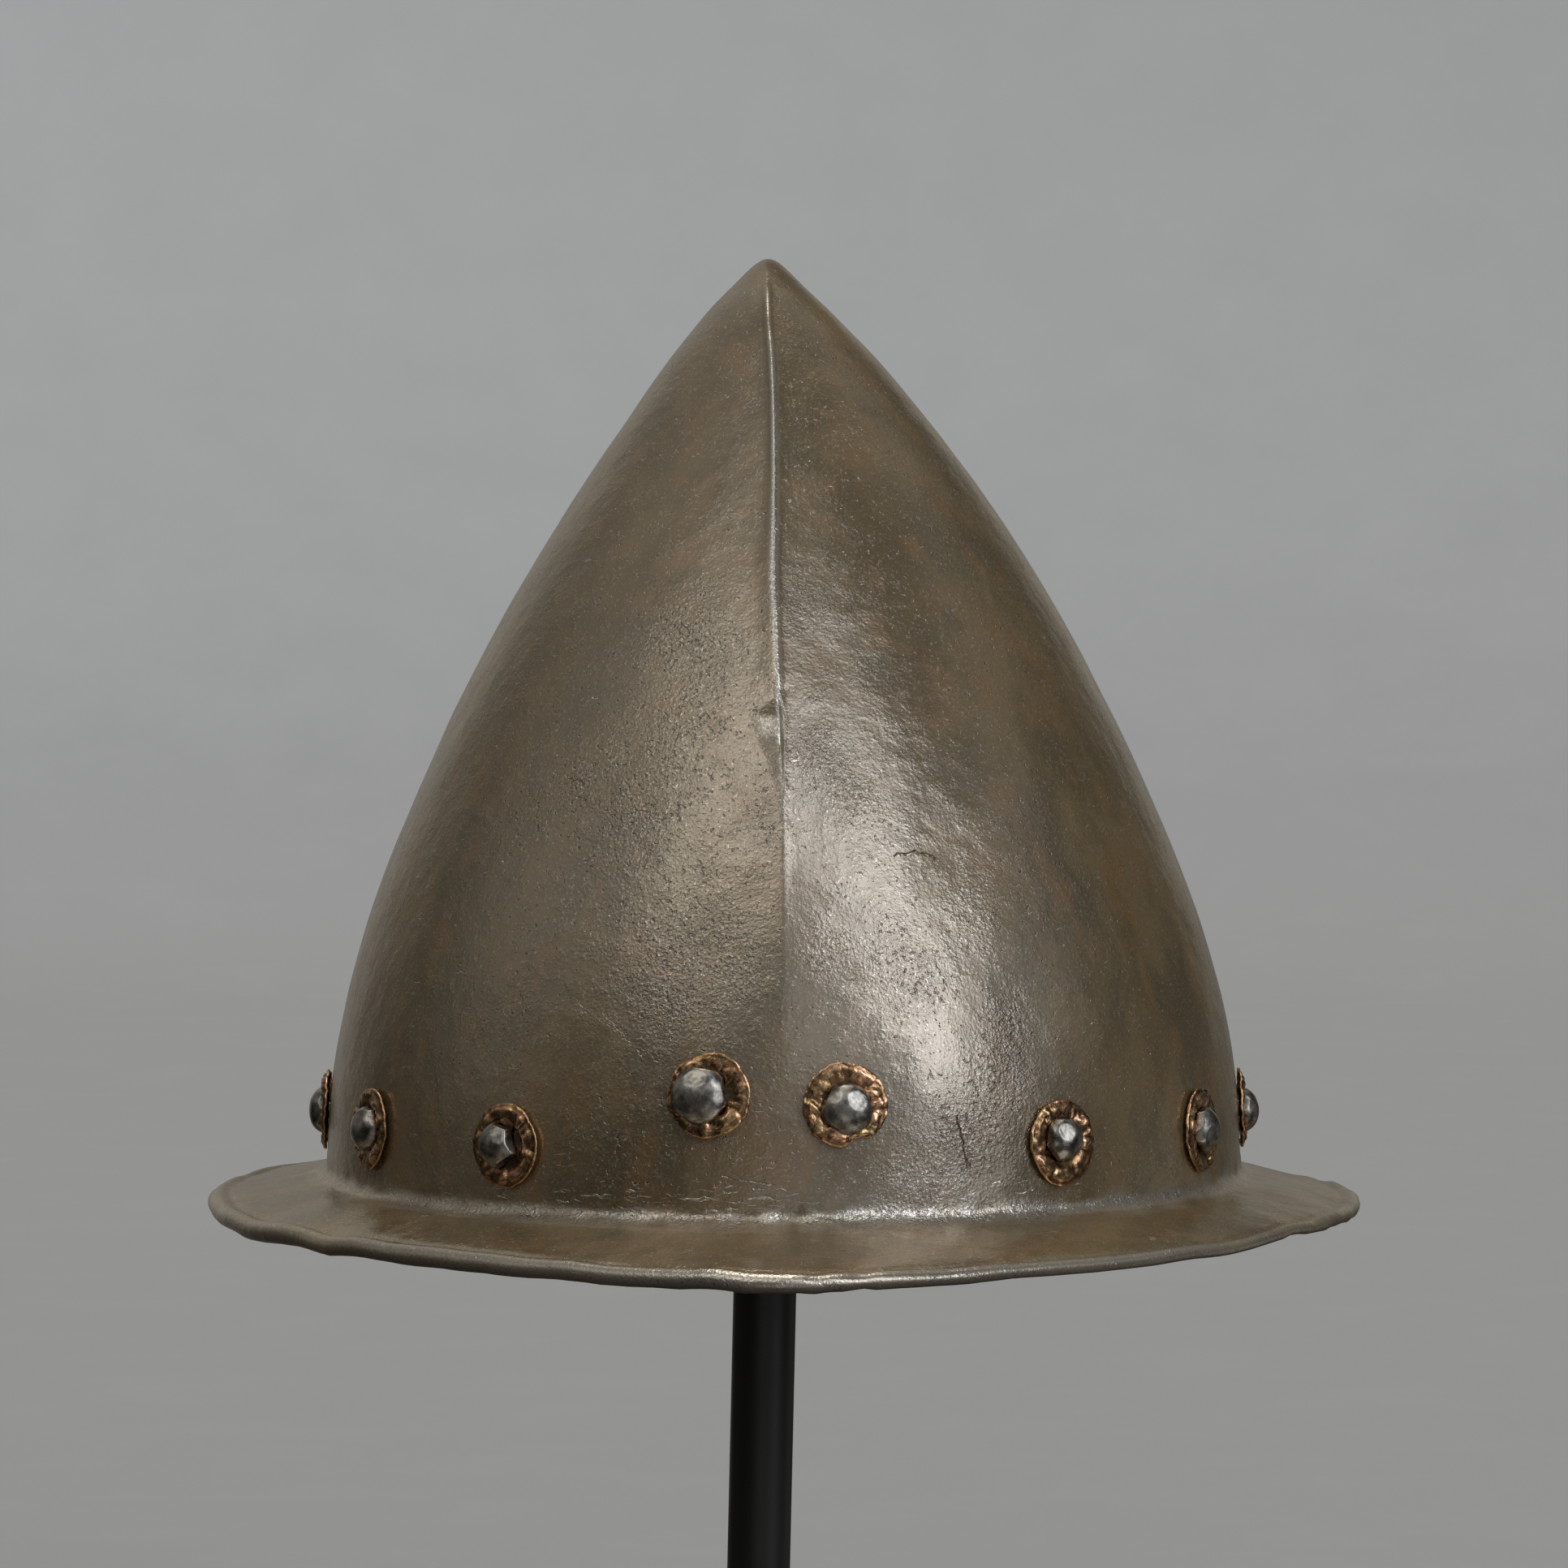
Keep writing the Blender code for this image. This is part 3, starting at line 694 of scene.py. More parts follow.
def seamless_paper(settings):
    """Matt grey paper with the faintest fibre. Its colour darkens towards its foot: painted shade, where
    less light falls.
    """
    material, node, place = new_material("seamless grey paper")
    height = node("SeparateXYZ", None, place).outputs["Z"]
    # Painted shade: the colour runs from the darker grey at the foot up to the lighter grey on the wall.
    up = node("MapRange", Value=height, From_Min=0.1, From_Max=0.65)
    fibre = lumps(node, place, 60, (0.3, 0.7), (-0.05, 0.05), 4.0)
    share = node("Math", ADD, up, fibre)
    colour = node("Mix", COLOURS, share, settings.paper_shaded_low, settings.paper_high)
    shader = node("BsdfPrincipled", Base_Color=colour, Roughness=0.9, Specular_IOR_Level=0.1)
    node("OutputMaterial", Surface=shader)
    return material


# ---------------------------------------------------------------- the plate
# Rows number the plate's rings: from the stalk's end down to 0 at the foot, then to -1 across the brim and
# to -2 round its turned edge.
COLUMNS = 140  # points round the helmet, before the surface is subdivided
CROWDING = 5.0  # how much closer the points stand beside the keels
CROWDED_REACH = 5.0  # mm from the keel
RING_STEP = 4.8 * MM  # between rings up the skull
BRIM_SHARES = (0.12, 0.24, 0.36, 0.48, 0.6, 0.72, 0.83, 0.91, 0.95, 0.98, 1.0)
BEAD_DEGREES = (96, 66, 36, 8, -20, -50, -80, -112, -145, -170)
FILLET_SHARES = {0.0: 0.35, -0.05: 0.7}  # by row
CORNER_ROW = FOOT_ROW + 0.08  # a ring that keeps the corner at the brim crisp
FINE_ANGLE, FINE_RISES = 9, (96, 119)  # where the notches need finer faces, in degrees and mm
HAMMER_WAVES = ((45 * MM, 1), (14 * MM, 0.4))  # sizes, and depths as shares of the setting
KEEL_START = 0.3  # the row above which the keel has its bead and notches
CREASE_END = -0.2  # the row out to which the marks at the skull's foot reach
WORN_ROWS, EDGE_WORN = (-2, -1.9, -1.75, -1.35, -1.1, -0.97), (0, 0.1, 0.1, 0.8, 1, 0)


def column_angles(half_width):
    """Angles round the helmet, closer together beside the two keels."""
    reach = min(CROWDED_REACH / half_width, 0.5)
    quarter = np.linspace(0, math.pi / 2, 300)
    crowded = quarter + CROWDING * reach * np.tanh(quarter / reach)
    to_side = np.interp(np.linspace(0, 1, COLUMNS // 4 + 1), crowded / crowded[-1], quarter)
    to_back = np.concatenate([to_side, math.pi - to_side[-2::-1]])
    return np.concatenate([to_back, 2 * math.pi - to_back[-2:0:-1]])


def even_rows():
    """Rows of the table from the stalk's end down to the foot, one ring step apart on the plate."""
    fine = np.linspace(len(SKULL) - 1, FOOT_ROW, 700)
    travelled = [0.0]
    for above, below in zip(fine, fine[1:]):
        steps = [(skull_point(above, a) - skull_point(below, a)).length for a in (0, math.pi / 2, math.pi)]
        travelled.append(travelled[-1] + max(steps))
    count = round(travelled[-1] / RING_STEP)
    return np.interp(np.linspace(0, travelled[-1], count + 1), travelled, fine)


def plate_rings(edge_radius):
    """The plate's outer face as pairs of a row and a function that gives its points by their angle."""
    rows = list(even_rows())
    rows.insert(-1, CORNER_ROW)
    rings = [(row, lambda a, row=row: skull_point(row, a)) for row in rows]
    rings += [(row, lambda a, s=share: fillet_point(s, a)) for row, share in FILLET_SHARES.items()]
    rings += [(-share, lambda a, s=share: brim_point(s, a)) for share in BRIM_SHARES]
    for number, degrees in enumerate(BEAD_DEGREES, start=1):
        rings.append((-1.0 - number / 10, lambda a, d=degrees: bead_point(d, a, edge_radius)))
    return rings


def raise_plate(settings):
    """The plate's outer face, extruded ring by ring from the stalk's end down to the turned edge."""
    start_fresh()
    bpy.ops.mesh.primitive_circle_add(vertices=COLUMNS, radius=1, fill_type="NOTHING")
    plate = bpy.context.object
    plate.name = "helmet_plate"
    bpy.ops.object.mode_set(mode="EDIT")
    mesh = bmesh.from_edit_mesh(plate.data)
    mesh.verts.layers.int.new("column")
    for name in ("row", "sine", "cosine"):
        mesh.verts.layers.float.new(name)
    column = mesh.verts.layers.int["column"]
    for number, vertex in enumerate(mesh.verts):
        vertex[column] = number
    for number, (row, surface) in enumerate(plate_rings(settings.edge_radius)):
        if number:
            bpy.ops.mesh.extrude_region_move()
        mesh = bmesh.from_edit_mesh(plate.data)
        layers = mesh.verts.layers
        column = layers.int["column"]
        row_layer, sine, cosine = (layers.float[name] for name in ("row", "sine", "cosine"))
        angles = column_angles(section_at(max(row, 0)).half_width)
        for vertex in mesh.verts:
            if vertex.select:
                angle = angles[vertex[column]]
                vertex.co = surface(angle)
                vertex[row_layer] = row
                vertex[sine] = math.sin(angle)
                vertex[cosine] = math.cos(angle)
        bmesh.update_edit_mesh(plate.data)
    close_stalk(plate)
    bpy.ops.object.mode_set(mode="OBJECT")
    return plate


def close_stalk(plate):
    """Closes the first ring to a point at the stalk's tip."""
    bpy.ops.mesh.select_all(action="DESELECT")
    mesh = bmesh.from_edit_mesh(plate.data)
    row = mesh.verts.layers.float["row"]
    for vertex in mesh.verts:
        vertex.select = vertex[row] > len(SKULL) - 1.001
    mesh.select_flush_mode()
    mesh.select_flush(True)
    bpy.ops.mesh.extrude_region_move()
    bpy.ops.mesh.merge(type="CENTER")
    mesh = bmesh.from_edit_mesh(plate.data)
    for vertex in mesh.verts:
        if vertex.select:
            vertex.co = STALK_TIP + Vector((0, 0, FOOT_HEIGHT))
    bmesh.update_edit_mesh(plate.data)
    bpy.ops.mesh.select_all(action="SELECT")
    bpy.ops.mesh.normals_make_consistent(inside=False)


def vertex_numbers(data, name):
    """One of the plate's own numbers, for all its points."""
    numbers = np.zeros(len(data.vertices), np.float32)
    data.attributes[name].data.foreach_get("value", numbers)
    return numbers


def near(values, middle, reach):
    """1 where a value is at the middle, dying away smoothly over its reach."""
    return np.exp(-(((values - middle) / reach) ** 2))


def ripples(points, size):
    """Smooth noise from -1 to 1 over these points, with waves about this long."""
    return np.array([noise.noise(Vector(point) / size) for point in points])


def refine(plate, chosen):
    """Cuts each chosen face in four. chosen takes the angle of a face's middle and its rise in mm."""
    select_only(plate)
    bpy.ops.object.mode_set(mode="EDIT")
    bpy.ops.mesh.select_mode(type="FACE")
    bpy.ops.mesh.select_all(action="DESELECT")
    mesh = bmesh.from_edit_mesh(plate.data)
    for face in mesh.faces:
        middle = face.calc_center_median() / MM
        face.select_set(chosen(math.degrees(math.atan2(middle.x, -middle.y)), middle.z - FOOT_HEIGHT / MM))
    bmesh.update_edit_mesh(plate.data)
    bpy.ops.mesh.subdivide(number_cuts=1)
    bpy.ops.mesh.select_mode(type="VERT")
    bpy.ops.object.mode_set(mode="OBJECT")


def knock_edge(points, degrees, row):
    """How far the brim's points move down and out as its edge was knocked about, in mm."""
    on_edge = np.interp(row, (-0.95, -0.3), (1, 0))
    down = sum(knock.down * near(degrees, knock.angle, knock.reach) for knock in KNOCKS)
    kinks = np.abs(ripples(points * (1, 1, 0), 26 * MM)) - 0.25
    fine = ripples(points * (1, 1, 0), 6 * MM)
    thumbed = 0.15 + 0.5 * near(degrees, THUMBED_ANGLE, THUMBED_REACH)
    chip = CHIP_DEPTH * near(degrees, CHIP_ANGLE, CHIP_REACH)
    rolled = np.interp(row, (-1.2, -0.98), (1, 0))
    groove = 0.45 * near(row, -0.955, 0.03) * (0.7 + 0.6 * fine)
    return (down + 0.6 * kinks) * on_edge + groove, (thumbed * fine - chip) * rolled


def near_place(degrees, rise, radius, angle, middle, width, height):
    """1 at a place on the skull, dying away over this width and height in mm."""
    across = (degrees - angle) * math.pi / 180 * radius
    return near(across, 0, width) * near(rise, middle, height)


def dent_skull(degrees, row, rise, radius):
    """How deep each point of the skull lies in the hollows, in mm."""
    depth = sum(
        dent.depth * near_place(degrees, rise, radius, dent.angle, dent.rise, dent.width, dent.height)
        for dent in DENTS
    )
    return depth * np.interp(rise, (1, 7), (0, 1)) * (row > 0)


def notch_keel(from_crest, rise, row):
    """How deep each point lies in the notches across the front keel, in mm."""
    depth = 0
    for notch in NOTCHES:
        side = from_crest * np.sign(notch.reach)
        tapered = np.clip(1 - side / abs(notch.reach), 0.01, 1)
        across = np.where(side > 0, tapered, near(side, 0, 0.9) + 0.01)
        up = (rise - notch.rise) / across
        slope = np.clip(np.where(up > 0, 1 - up / notch.above, 1 + up / notch.below), 0, 1)
        depth = depth + notch.depth * across * slope
    return depth * (row > KEEL_START)


def crease_at_foot(points, degrees, row, rise):
    """How brightly the ragged line along the skull's foot is rubbed. Towards -X it lies on the brim."""
    middle = np.interp(degrees, (-20, 10), (-1.1, -0.2)) + 1.3 * ripples(points, 9 * MM)
    line = near(rise, middle, 1.6 + 1.2 * ripples(points, 14 * MM))
    line = line * np.clip(1.5 - rise / np.interp(degrees, (-15, 8), (1.2, 4)), 0, 1)
    ragged = (0.6 + 0.5 * near(degrees, -6, 34)) * (0.9 + 1.3 * ripples(points, 5 * MM))
    return (row > CREASE_END) * line * ragged


def edge_wear(degrees, row):
    """How brightly the turned edge is rubbed, most of all at the front, and one bright spot beside it."""
    rubbed = 0.25 + 0.75 * np.clip(near(degrees, -10, 28) + 0.5 * near(degrees, 38, 16), 0, 1)
    spot = near(row, -0.82, 0.06) * near(degrees, -5.5, 1.3) * (row < -0.5)
    return np.interp(row, WORN_ROWS, EDGE_WORN) * rubbed + 0.7 * spot


def shape_by_hand(plate, settings):
    """Ridge, hollows and knocks, as moves of the finished surface's points, and where they left it worn,
    with a painted highlight below one notch.
    """
    data = plate.data
    points = points_of(data)
    normals = np.zeros(points.size, np.float32)
    data.vertex_normals.foreach_get("vector", normals)
    row, sine, cosine = (vertex_numbers(data, name) for name in ("row", "sine", "cosine"))
    degrees = np.degrees(np.arctan2(sine, cosine))
    rise = (points[:, 2] - FOOT_HEIGHT) / MM
    radius = np.hypot(points[:, 0], points[:, 1]) / MM

    half_width = np.interp(row, range(len(SKULL)), [section.half_width for section in SKULL])
    wander = np.interp(rise, CREST_RISES, CREST_SHIFTS)
    from_crest = half_width * sine + np.where(cosine > 0, wander, 0)
    fade = np.interp(rise, BEAD_RISES, BEAD_SHARES) * (row > KEEL_START)
    # The bead stands free near the top. Lower down the side towards -X rises to it and the other drops.
    sloping = np.interp(rise, LEANING_RISES, LEANING_WIDTHS)
    leaning = np.where((from_crest < 0) & (cosine > 0), sloping, 1)
    wavy_width = settings.ridge_width * (1 + 0.25 * ripples(points, 5 * MM)) * leaning
    ridge = near(from_crest * MM, 0, wavy_width) * fade
    wrinkled = near(rise, 0.8, 2.6) * (row > -0.14) * ripples(points, 3.6 * MM)
    notched = np.where(cosine > 0, notch_keel(from_crest, rise, row), 0)
    hollow = dent_skull(degrees, row, rise, radius) + notched
    lift = ridge * settings.ridge_height / MM - hollow + 0.6 * wrinkled
    down, out = knock_edge(points, degrees, row)
    points += normals.reshape(-1, 3) * ((lift + out) * MM)[:, None]
    points[:, 2] -= down * MM
    data.vertices.foreach_set("co", points.ravel())

    crest = 1.3 * near(from_crest, 0.1, 0.7) * fade * np.interp(rise, RUBBED_RISES, RUBBED_SHARES)
    crease = crease_at_foot(points, degrees, row, rise)
    kicked = 0.6 * near(degrees, CHIP_ANGLE, 9) * near(rise, KICKED_RISE, 7) * (row > CREASE_END)
    kicked = np.clip(kicked * (0.6 + ripples(points, 4 * MM)), 0, 1)
    # Metal colour on the notch's lower face, where the blow struck, is also a painted highlight: it makes
    # that face bright where it catches the light.
    notch_painted_highlight = 0.9 * np.clip(2 * notched, 0, 1) * np.interp(rise, (103.5, 106, 108.8, 109.4), (0, 1, 1, 0))
    worn = np.clip(crest + edge_wear(degrees, row) + crease + kicked + notch_painted_highlight, 0, 1)
    rusted = near(row, -0.55, 0.1) * (near(degrees, -14.5, 1.6) + near(degrees, -24, 1.2)) * (row < -0.3)
    rusted = rusted - 0.4 * (row < CREASE_END)
    scraped = sum(
        place.amount * near(degrees, place.angle, place.reach) * near(rise, place.rise, place.height)
        for place in SCRAPED
    )
    pitted = sum(
        patch.amount * near_place(degrees, rise, radius, patch.angle, patch.rise, patch.size, patch.size)
        for patch in PITTINGS
    )
    pitted = np.clip(pitted * (row > CREASE_END) + crease, 0, 1)
    for name, values in (("worn", worn), ("pitted", pitted), ("rusted", rusted)):
        mark_points(data, name, values)
    unrolled = np.stack([degrees, rise, scraped * (row > CREASE_END)], 1)
    mark_points(data, "unrolled", unrolled, "FLOAT_VECTOR")


def keep_in_box(piece):
    """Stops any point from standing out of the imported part's box."""
    low, high = (np.array(corner) for corner in CAD_BOX)
    points = np.clip(points_of(piece.data), low + 1e-6, high - 1e-6)
    piece.data.vertices.foreach_set("co", points.ravel())
    piece.data.update()


class CABASSET_OT_forge_plate(bpy.types.Operator):
    """Raises the skull and brim from one plate, hammers it and turns its edge under"""

    bl_idname = "cabasset.forge_plate"
    bl_label = "Forge the plate"

    def execute(self, context):
        settings = context.scene.cabasset_plate
        plate = raise_plate(settings)
        apply_modifier(plate, "SUBSURF", levels=1, render_levels=1)
        low, high = FINE_RISES
        refine(plate, lambda angle, rise: abs(angle) < FINE_ANGLE and low < rise < high)
        for size, share in HAMMER_WAVES:
            depth = settings.hammering * share
            apply_modifier(plate, "DISPLACE", texture=clouds(size), strength=depth, mid_level=0.5)
        shape_by_hand(plate, settings)
        apply_modifier(plate, "SOLIDIFY", thickness=settings.wall, offset=-1.0, use_even_offset=False)
        plate.data.shade_smooth()
        keep_in_box(plate)
        finish_piece(plate, patinated_iron(settings), "patinated_iron", "skull_and_brim")
        return {"FINISHED"}


# ---------------------------------------------------------------- rosettes and rivets
def rivet_places():
    """A matrix for each rivet: its origin on the skull's outer face, its Z axis pointing outwards."""
    on_left = [(pair.left_angle, pair.left_rise) for pair in RIVET_PAIRS]
    on_right = [(-pair.right_angle, pair.right_rise) for pair in RIVET_PAIRS]
    places = []
    for degrees, rise in on_left + on_right:
        row, angle = rise / SKULL[1].front_rise, math.radians(degrees)
        outward = skull_normal(row, angle).to_track_quat("Z", "Y").to_matrix().to_4x4()
        places.append(Matrix.Translation(skull_point(row, angle)) @ outward)
    return places


def press_disc(settings):
    """A flat washer, extruded ring by ring from the rivet's hole out to the rim."""
    start_fresh()
    bpy.ops.mesh.primitive_circle_add(vertices=ROSETTE_SIDES, radius=ROSETTE_HOLE, fill_type="NOTHING")
    disc = bpy.context.object
    disc.name = "rosette_blank"
    bpy.ops.object.mode_set(mode="EDIT")
    radius = ROSETTE_HOLE
    for ring in range(1, ROSETTE_RINGS + 1):
        wider = ROSETTE_HOLE + (settings.radius - ROSETTE_HOLE) * ring / ROSETTE_RINGS
        bpy.ops.mesh.extrude_region_move()
        bpy.ops.transform.resize(value=(wider / radius, wider / radius, 1), center_override=(0, 0, 0))
        radius = wider
    bpy.ops.mesh.select_all(action="SELECT")
    bpy.ops.mesh.normals_make_consistent(inside=False)
    bpy.ops.object.mode_set(mode="OBJECT")
    if disc.data.polygons[0].normal.z < 0:
        disc.data.flip_normals()
    return disc


def crumple(rosette, settings, number):
    """Presses a ring of lumps into one rosette: pillows with sharp creases between them, no two alike."""
    chance = random.Random(ROSETTE_SEED + number)
    widths = [chance.uniform(*LUMP_WIDTHS) for _ in range(settings.lumps)]
    creases = np.concatenate([[0], np.cumsum(widths)]) / sum(widths)
    heights = [chance.uniform(*LUMP_HEIGHTS) for _ in widths]
    middles = [chance.uniform(*LUMP_MIDDLES) for _ in widths]
    turn = chance.uniform(0, 2 * math.pi)
    tear = math.radians(TEARS.get(number, 0))
    rubbed = []
    for vertex in rosette.data.vertices:
        radius = vertex.co.xy.length
        angle = math.atan2(vertex.co.y, vertex.co.x)
        share = (radius - ROSETTE_HOLE) / (settings.radius - ROSETTE_HOLE)
        spot = vertex.co / CRUMPLE_WAVE + Vector((0, 0, 10 * number))
        wander = 0.2 * noise.noise(spot) + 0.1 * noise.noise(spot * 2.3)
        around = ((angle + turn) / (2 * math.pi) + wander * 0.25) % 1
        lump = min(int(np.searchsorted(creases, around, side="right")) - 1, len(widths) - 1)
        along = (around - creases[lump]) / (creases[lump + 1] - creases[lump])
        pillow = math.sqrt(max(0, math.sin(math.pi * along)))
        middle = middles[lump]
        ring = float(np.interp(share, (0.3, middle - 0.12, middle + 0.1, 0.93, 1), (0, 1, 1, 0.2, 0.35)))
        lift = settings.crumple * ring * heights[lump] * (0.25 + 0.75 * pillow)
        ruck = noise.noise(spot * 1.7)
        vertex.co.z = settings.sheet + ROSETTE_GAP + lift + CRUMPLE_SHAKE * share * ruck
        out = 1 + share**3 * (0.03 * (pillow - 0.7) + 0.05 * noise.noise(spot * 0.5))
        if tear:
            out -= 0.2 * share**2 * float(near((angle - tear + math.pi) % (2 * math.pi) - math.pi, 0, 0.3))
        vertex.co.xy *= out
        rim = 0.6 * max(0, share - 0.93) / 0.07
        high = (0.15 + 0.85 * pillow) * heights[lump] * ring
        rubbed.append(min(1, max(0, 0.1 + high + rim + 0.35 * ruck)))
    mark_points(rosette.data, "height", rubbed)


class CABASSET_OT_press_rosettes(bpy.types.Operator):
    """Presses a crumpled copper rosette for each rivet"""

    bl_idname = "cabasset.press_rosettes"
    bl_label = "Press the rosettes"

    def execute(self, context):
        settings = context.scene.cabasset_rosettes
        copper = tarnished_copper(settings)
        blank = press_disc(settings)
        for number, place in enumerate(rivet_places(), start=1):
            rosette = copy_of(blank, f"copper_rosette_{number:02d}")
            crumple(rosette, settings, number)
            apply_modifier(rosette, "SOLIDIFY", thickness=settings.sheet, offset=-1.0)
            rosette.data.shade_smooth()
            rosette.data.transform(place)
            finish_piece(rosette, copper, "copper_alloy", f"rosette_{number:02d}")
        bpy.data.objects.remove(blank)
        return {"FINISHED"}


def strike(direction, depth, radius, height):
    """One hammer blow: cuts everything off the dome beyond a plane this deep in it."""
    reach = math.hypot(radius * direction.xy.length, height * direction.z) - depth
    bpy.ops.mesh.select_all(action="SELECT")
    bpy.ops.mesh.bisect(plane_co=direction * reach, plane_no=direction, use_fill=True, clear_outer=True)


def hammer_rivet(settings, number):
    """A domed head flattened by blows, its shank, and the end clenched over inside the skull."""
    chance = random.Random(number)
    side, up, wide = (chance.uniform(*ends) for ends in (HEAD_SHIFTS, HEAD_SHIFTS, HEAD_RADII))
    flat, tilt = chance.uniform(0, 360), chance.uniform(*FLAT_TILTS)
    head = HEADS.get(number, Head(side, up, wide, HEAD_SQUARE, flat, tilt))
    radius = head.radius * MM
    start_fresh()
    bpy.ops.mesh.primitive_uv_sphere_add(segments=40, ring_count=20, radius=radius)
    rivet = bpy.context.object
    rivet.name = f"iron_rivet_{number:02d}"
    bpy.ops.object.mode_set(mode="EDIT")
    dome = settings.height * HEAD_REACH
    bpy.ops.transform.resize(value=(1, 1, dome / radius), center_override=(0, 0, 0))
    strike(Vector((0, 0, -1)), dome, radius, dome)
    for side in range(SIDE_BLOWS):
        azimuth = 360 * side / SIDE_BLOWS + chance.uniform(0, 40)
        depth = (0.05 + 0.22 * head.square * chance.random()) * radius
        strike(tilted(azimuth, SIDE_TILT), depth, radius, dome)
    strike(tilted(head.flat, head.tilt), LARGEST_FLAT * MM, radius, dome)
    for blow in range(1, settings.facets):
        azimuth = head.flat + 360 * blow / settings.facets + chance.uniform(*BLOW_TURNS)
        blow_direction = tilted(azimuth, chance.uniform(*BLOW_TILTS))
        strike(blow_direction, chance.uniform(*BLOW_DEPTHS) * MM, radius, dome)
    bpy.ops.mesh.select_all(action="SELECT")
    bpy.ops.transform.translate(value=(head.side * MM, head.up * MM, RIVET_SEAT))
    bpy.ops.object.mode_set(mode="OBJECT")

    for radius, bottom, top in (
        (SHANK_RADIUS, -CLENCH_TOP, RIVET_SEAT + 0.5 * MM),
        (CLENCH_RADIUS, -CLENCH_TOP - CLENCH_THICKNESS, -CLENCH_TOP),
    ):
        bpy.ops.mesh.primitive_cylinder_add(
            vertices=24, radius=radius, depth=top - bottom + GRAIN, location=(0, 0, (top + bottom) / 2)
        )
        bar = bpy.context.object
        start_fresh()
        bar.select_set(True)
        rivet.select_set(True)
        bpy.context.view_layer.objects.active = rivet
        bpy.ops.object.join()
    apply_modifier(rivet, "REMESH", mode="VOXEL", voxel_size=GRAIN)
    apply_modifier(rivet, "SMOOTH", factor=0.5, iterations=8)
    apply_modifier(rivet, "DISPLACE", texture=clouds(2.4 * MM), strength=0.12 * MM, mid_level=0.5)
    rivet.data.shade_smooth()
    return rivet


class CABASSET_OT_hammer_rivets(bpy.types.Operator):
    """Sets a hammered iron rivet in each rosette"""

    bl_idname = "cabasset.hammer_rivets"
    bl_label = "Hammer the rivets"

    def execute(self, context):
        settings = context.scene.cabasset_rivets
        iron = rivet_iron(settings)
        for number, place in enumerate(rivet_places(), start=1):
            rivet = hammer_rivet(settings, number)
            rivet.data.transform(place)
            finish_piece(rivet, iron, "rivet_iron", f"rivet_{number:02d}")
        return {"FINISHED"}


# ---------------------------------------------------------------- the stand
BASE_MIDDLE = Vector((-7.02, 7.7, 0)) * MM  # the post leans, so the base is a little to -X of the helmet
BASE_RADIUS = 95 * MM
BASE_THICKNESS = 10 * MM
POST_RADIUS = 7.5 * MM
POST_TOP = Vector((0, 7.7, 320)) * MM
STAND_SIDES = 128
BASE_CHAMFER = 1.5 * MM
POST_CHAMFER = 0.3 * MM
POST_GAP = 0.5 * MM  # between the post's foot and the base


def turn_bar(name, radius, low, high, chamfer, material):
    """A round bar or plate between two points on its axis, chamfered, in place of its CAD node."""
    start_fresh()
    along = high - low
    bpy.ops.mesh.primitive_cylinder_add(vertices=STAND_SIDES, radius=radius, depth=along.length)
    bar = bpy.context.object
    bar.name = f"turned_{name}"
    apply_modifier(
        bar, "BEVEL", width=chamfer, segments=1, limit_method="ANGLE", angle_limit=math.radians(60)
    )
    bpy.ops.object.shade_smooth_by_angle(angle=math.radians(30))
    turn = along.to_track_quat("Z", "Y").to_matrix().to_4x4()
    bar.data.transform(Matrix.Translation((low + high) / 2) @ turn)
    finish_piece(bar, material, "black_paint", name)


class CABASSET_OT_finish_stand(bpy.types.Operator):
    """Turns and paints the post and base and covers the rest with felt"""

    bl_idname = "cabasset.finish_stand"
    bl_label = "Finish the stand"

    def execute(self, context):
        settings = context.scene.cabasset_stand
        paint = satin_paint(settings)
        felt = wool_felt(settings)
        base_top = BASE_MIDDLE + Vector((0, 0, BASE_THICKNESS))
        post_foot = base_top + Vector((0, 0, POST_GAP))
        turn_bar("stand_base", BASE_RADIUS, BASE_MIDDLE, base_top, BASE_CHAMFER, paint)
        turn_bar("stand_post", POST_RADIUS, post_foot, POST_TOP, POST_CHAMFER, paint)
        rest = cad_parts["skull_rest"].data
        rest.materials.clear()
        rest.materials.append(felt)
        return {"FINISHED"}


# ---------------------------------------------------------------- the stage
# Soft lamps round the helmet, far enough off to be glows in the world's sky. Azimuth is from the camera's
# side towards +X, and spread is how soft each is, all in degrees. The key is a little bluer than the rest.
Softbox = namedtuple("Softbox", "name azimuth elevation spread brightness")
KEY_BOXES = table(
    Softbox,
    ("key, high", 36, 54, 11, 1.62),
    ("key", 46, 38, 10.5, 2.75),
    ("key, lower", 51, 22, 11, 2.35),
    ("key, foot", 54, 12, 9, 0.25),
    ("key, edge", 64, 26, 10, 0.2),
    ("key, low", 48, 6, 18, 0.68),
    ("key, inner", 12, 28, 18, 0.46),
    ("key, outer", 84, 28, 18, 0.24),
)
FILL_BOXES = table(
    Softbox,
    ("overhead", 0, 88, 14, 0.7),
    ("overhead, behind", 180, 68, 9.5, 4.4),
    ("overhead right", -60, 72, 20, 0.14),
    ("fill", -36, 54, 12, 1.18),
    ("fill, outer", -45, 50, 18, 0.42),
    ("fill, side", -75, 50, 18, 0.16),
    ("fill, low", -36, 28, 18, 0.1),
    ("side right", -96, 28, 24, 0.2),
    ("back right, low", -164, 6, 20, 0.27),
    ("back right, middle", -156, 28, 18, 0.22),
    ("back right, high", -135, 50, 18, 0.14),
    ("back, high", -165, 50, 18, 0.2),
    ("back left, low", 165, 8, 12, 0.27),
    ("back left, high", 135, 50, 18, 0.21),
    ("side left, bounce", 120, -18, 18, 0.2),
    ("front bounce", 0, -18, 18, 0.42),
)
KEY_COLOUR = (0.95, 1, 1.06)
FILL_COLOUR = (1.02, 1, 0.93)
BOWL_FLOOR = 2.7  # radius of the flat floor
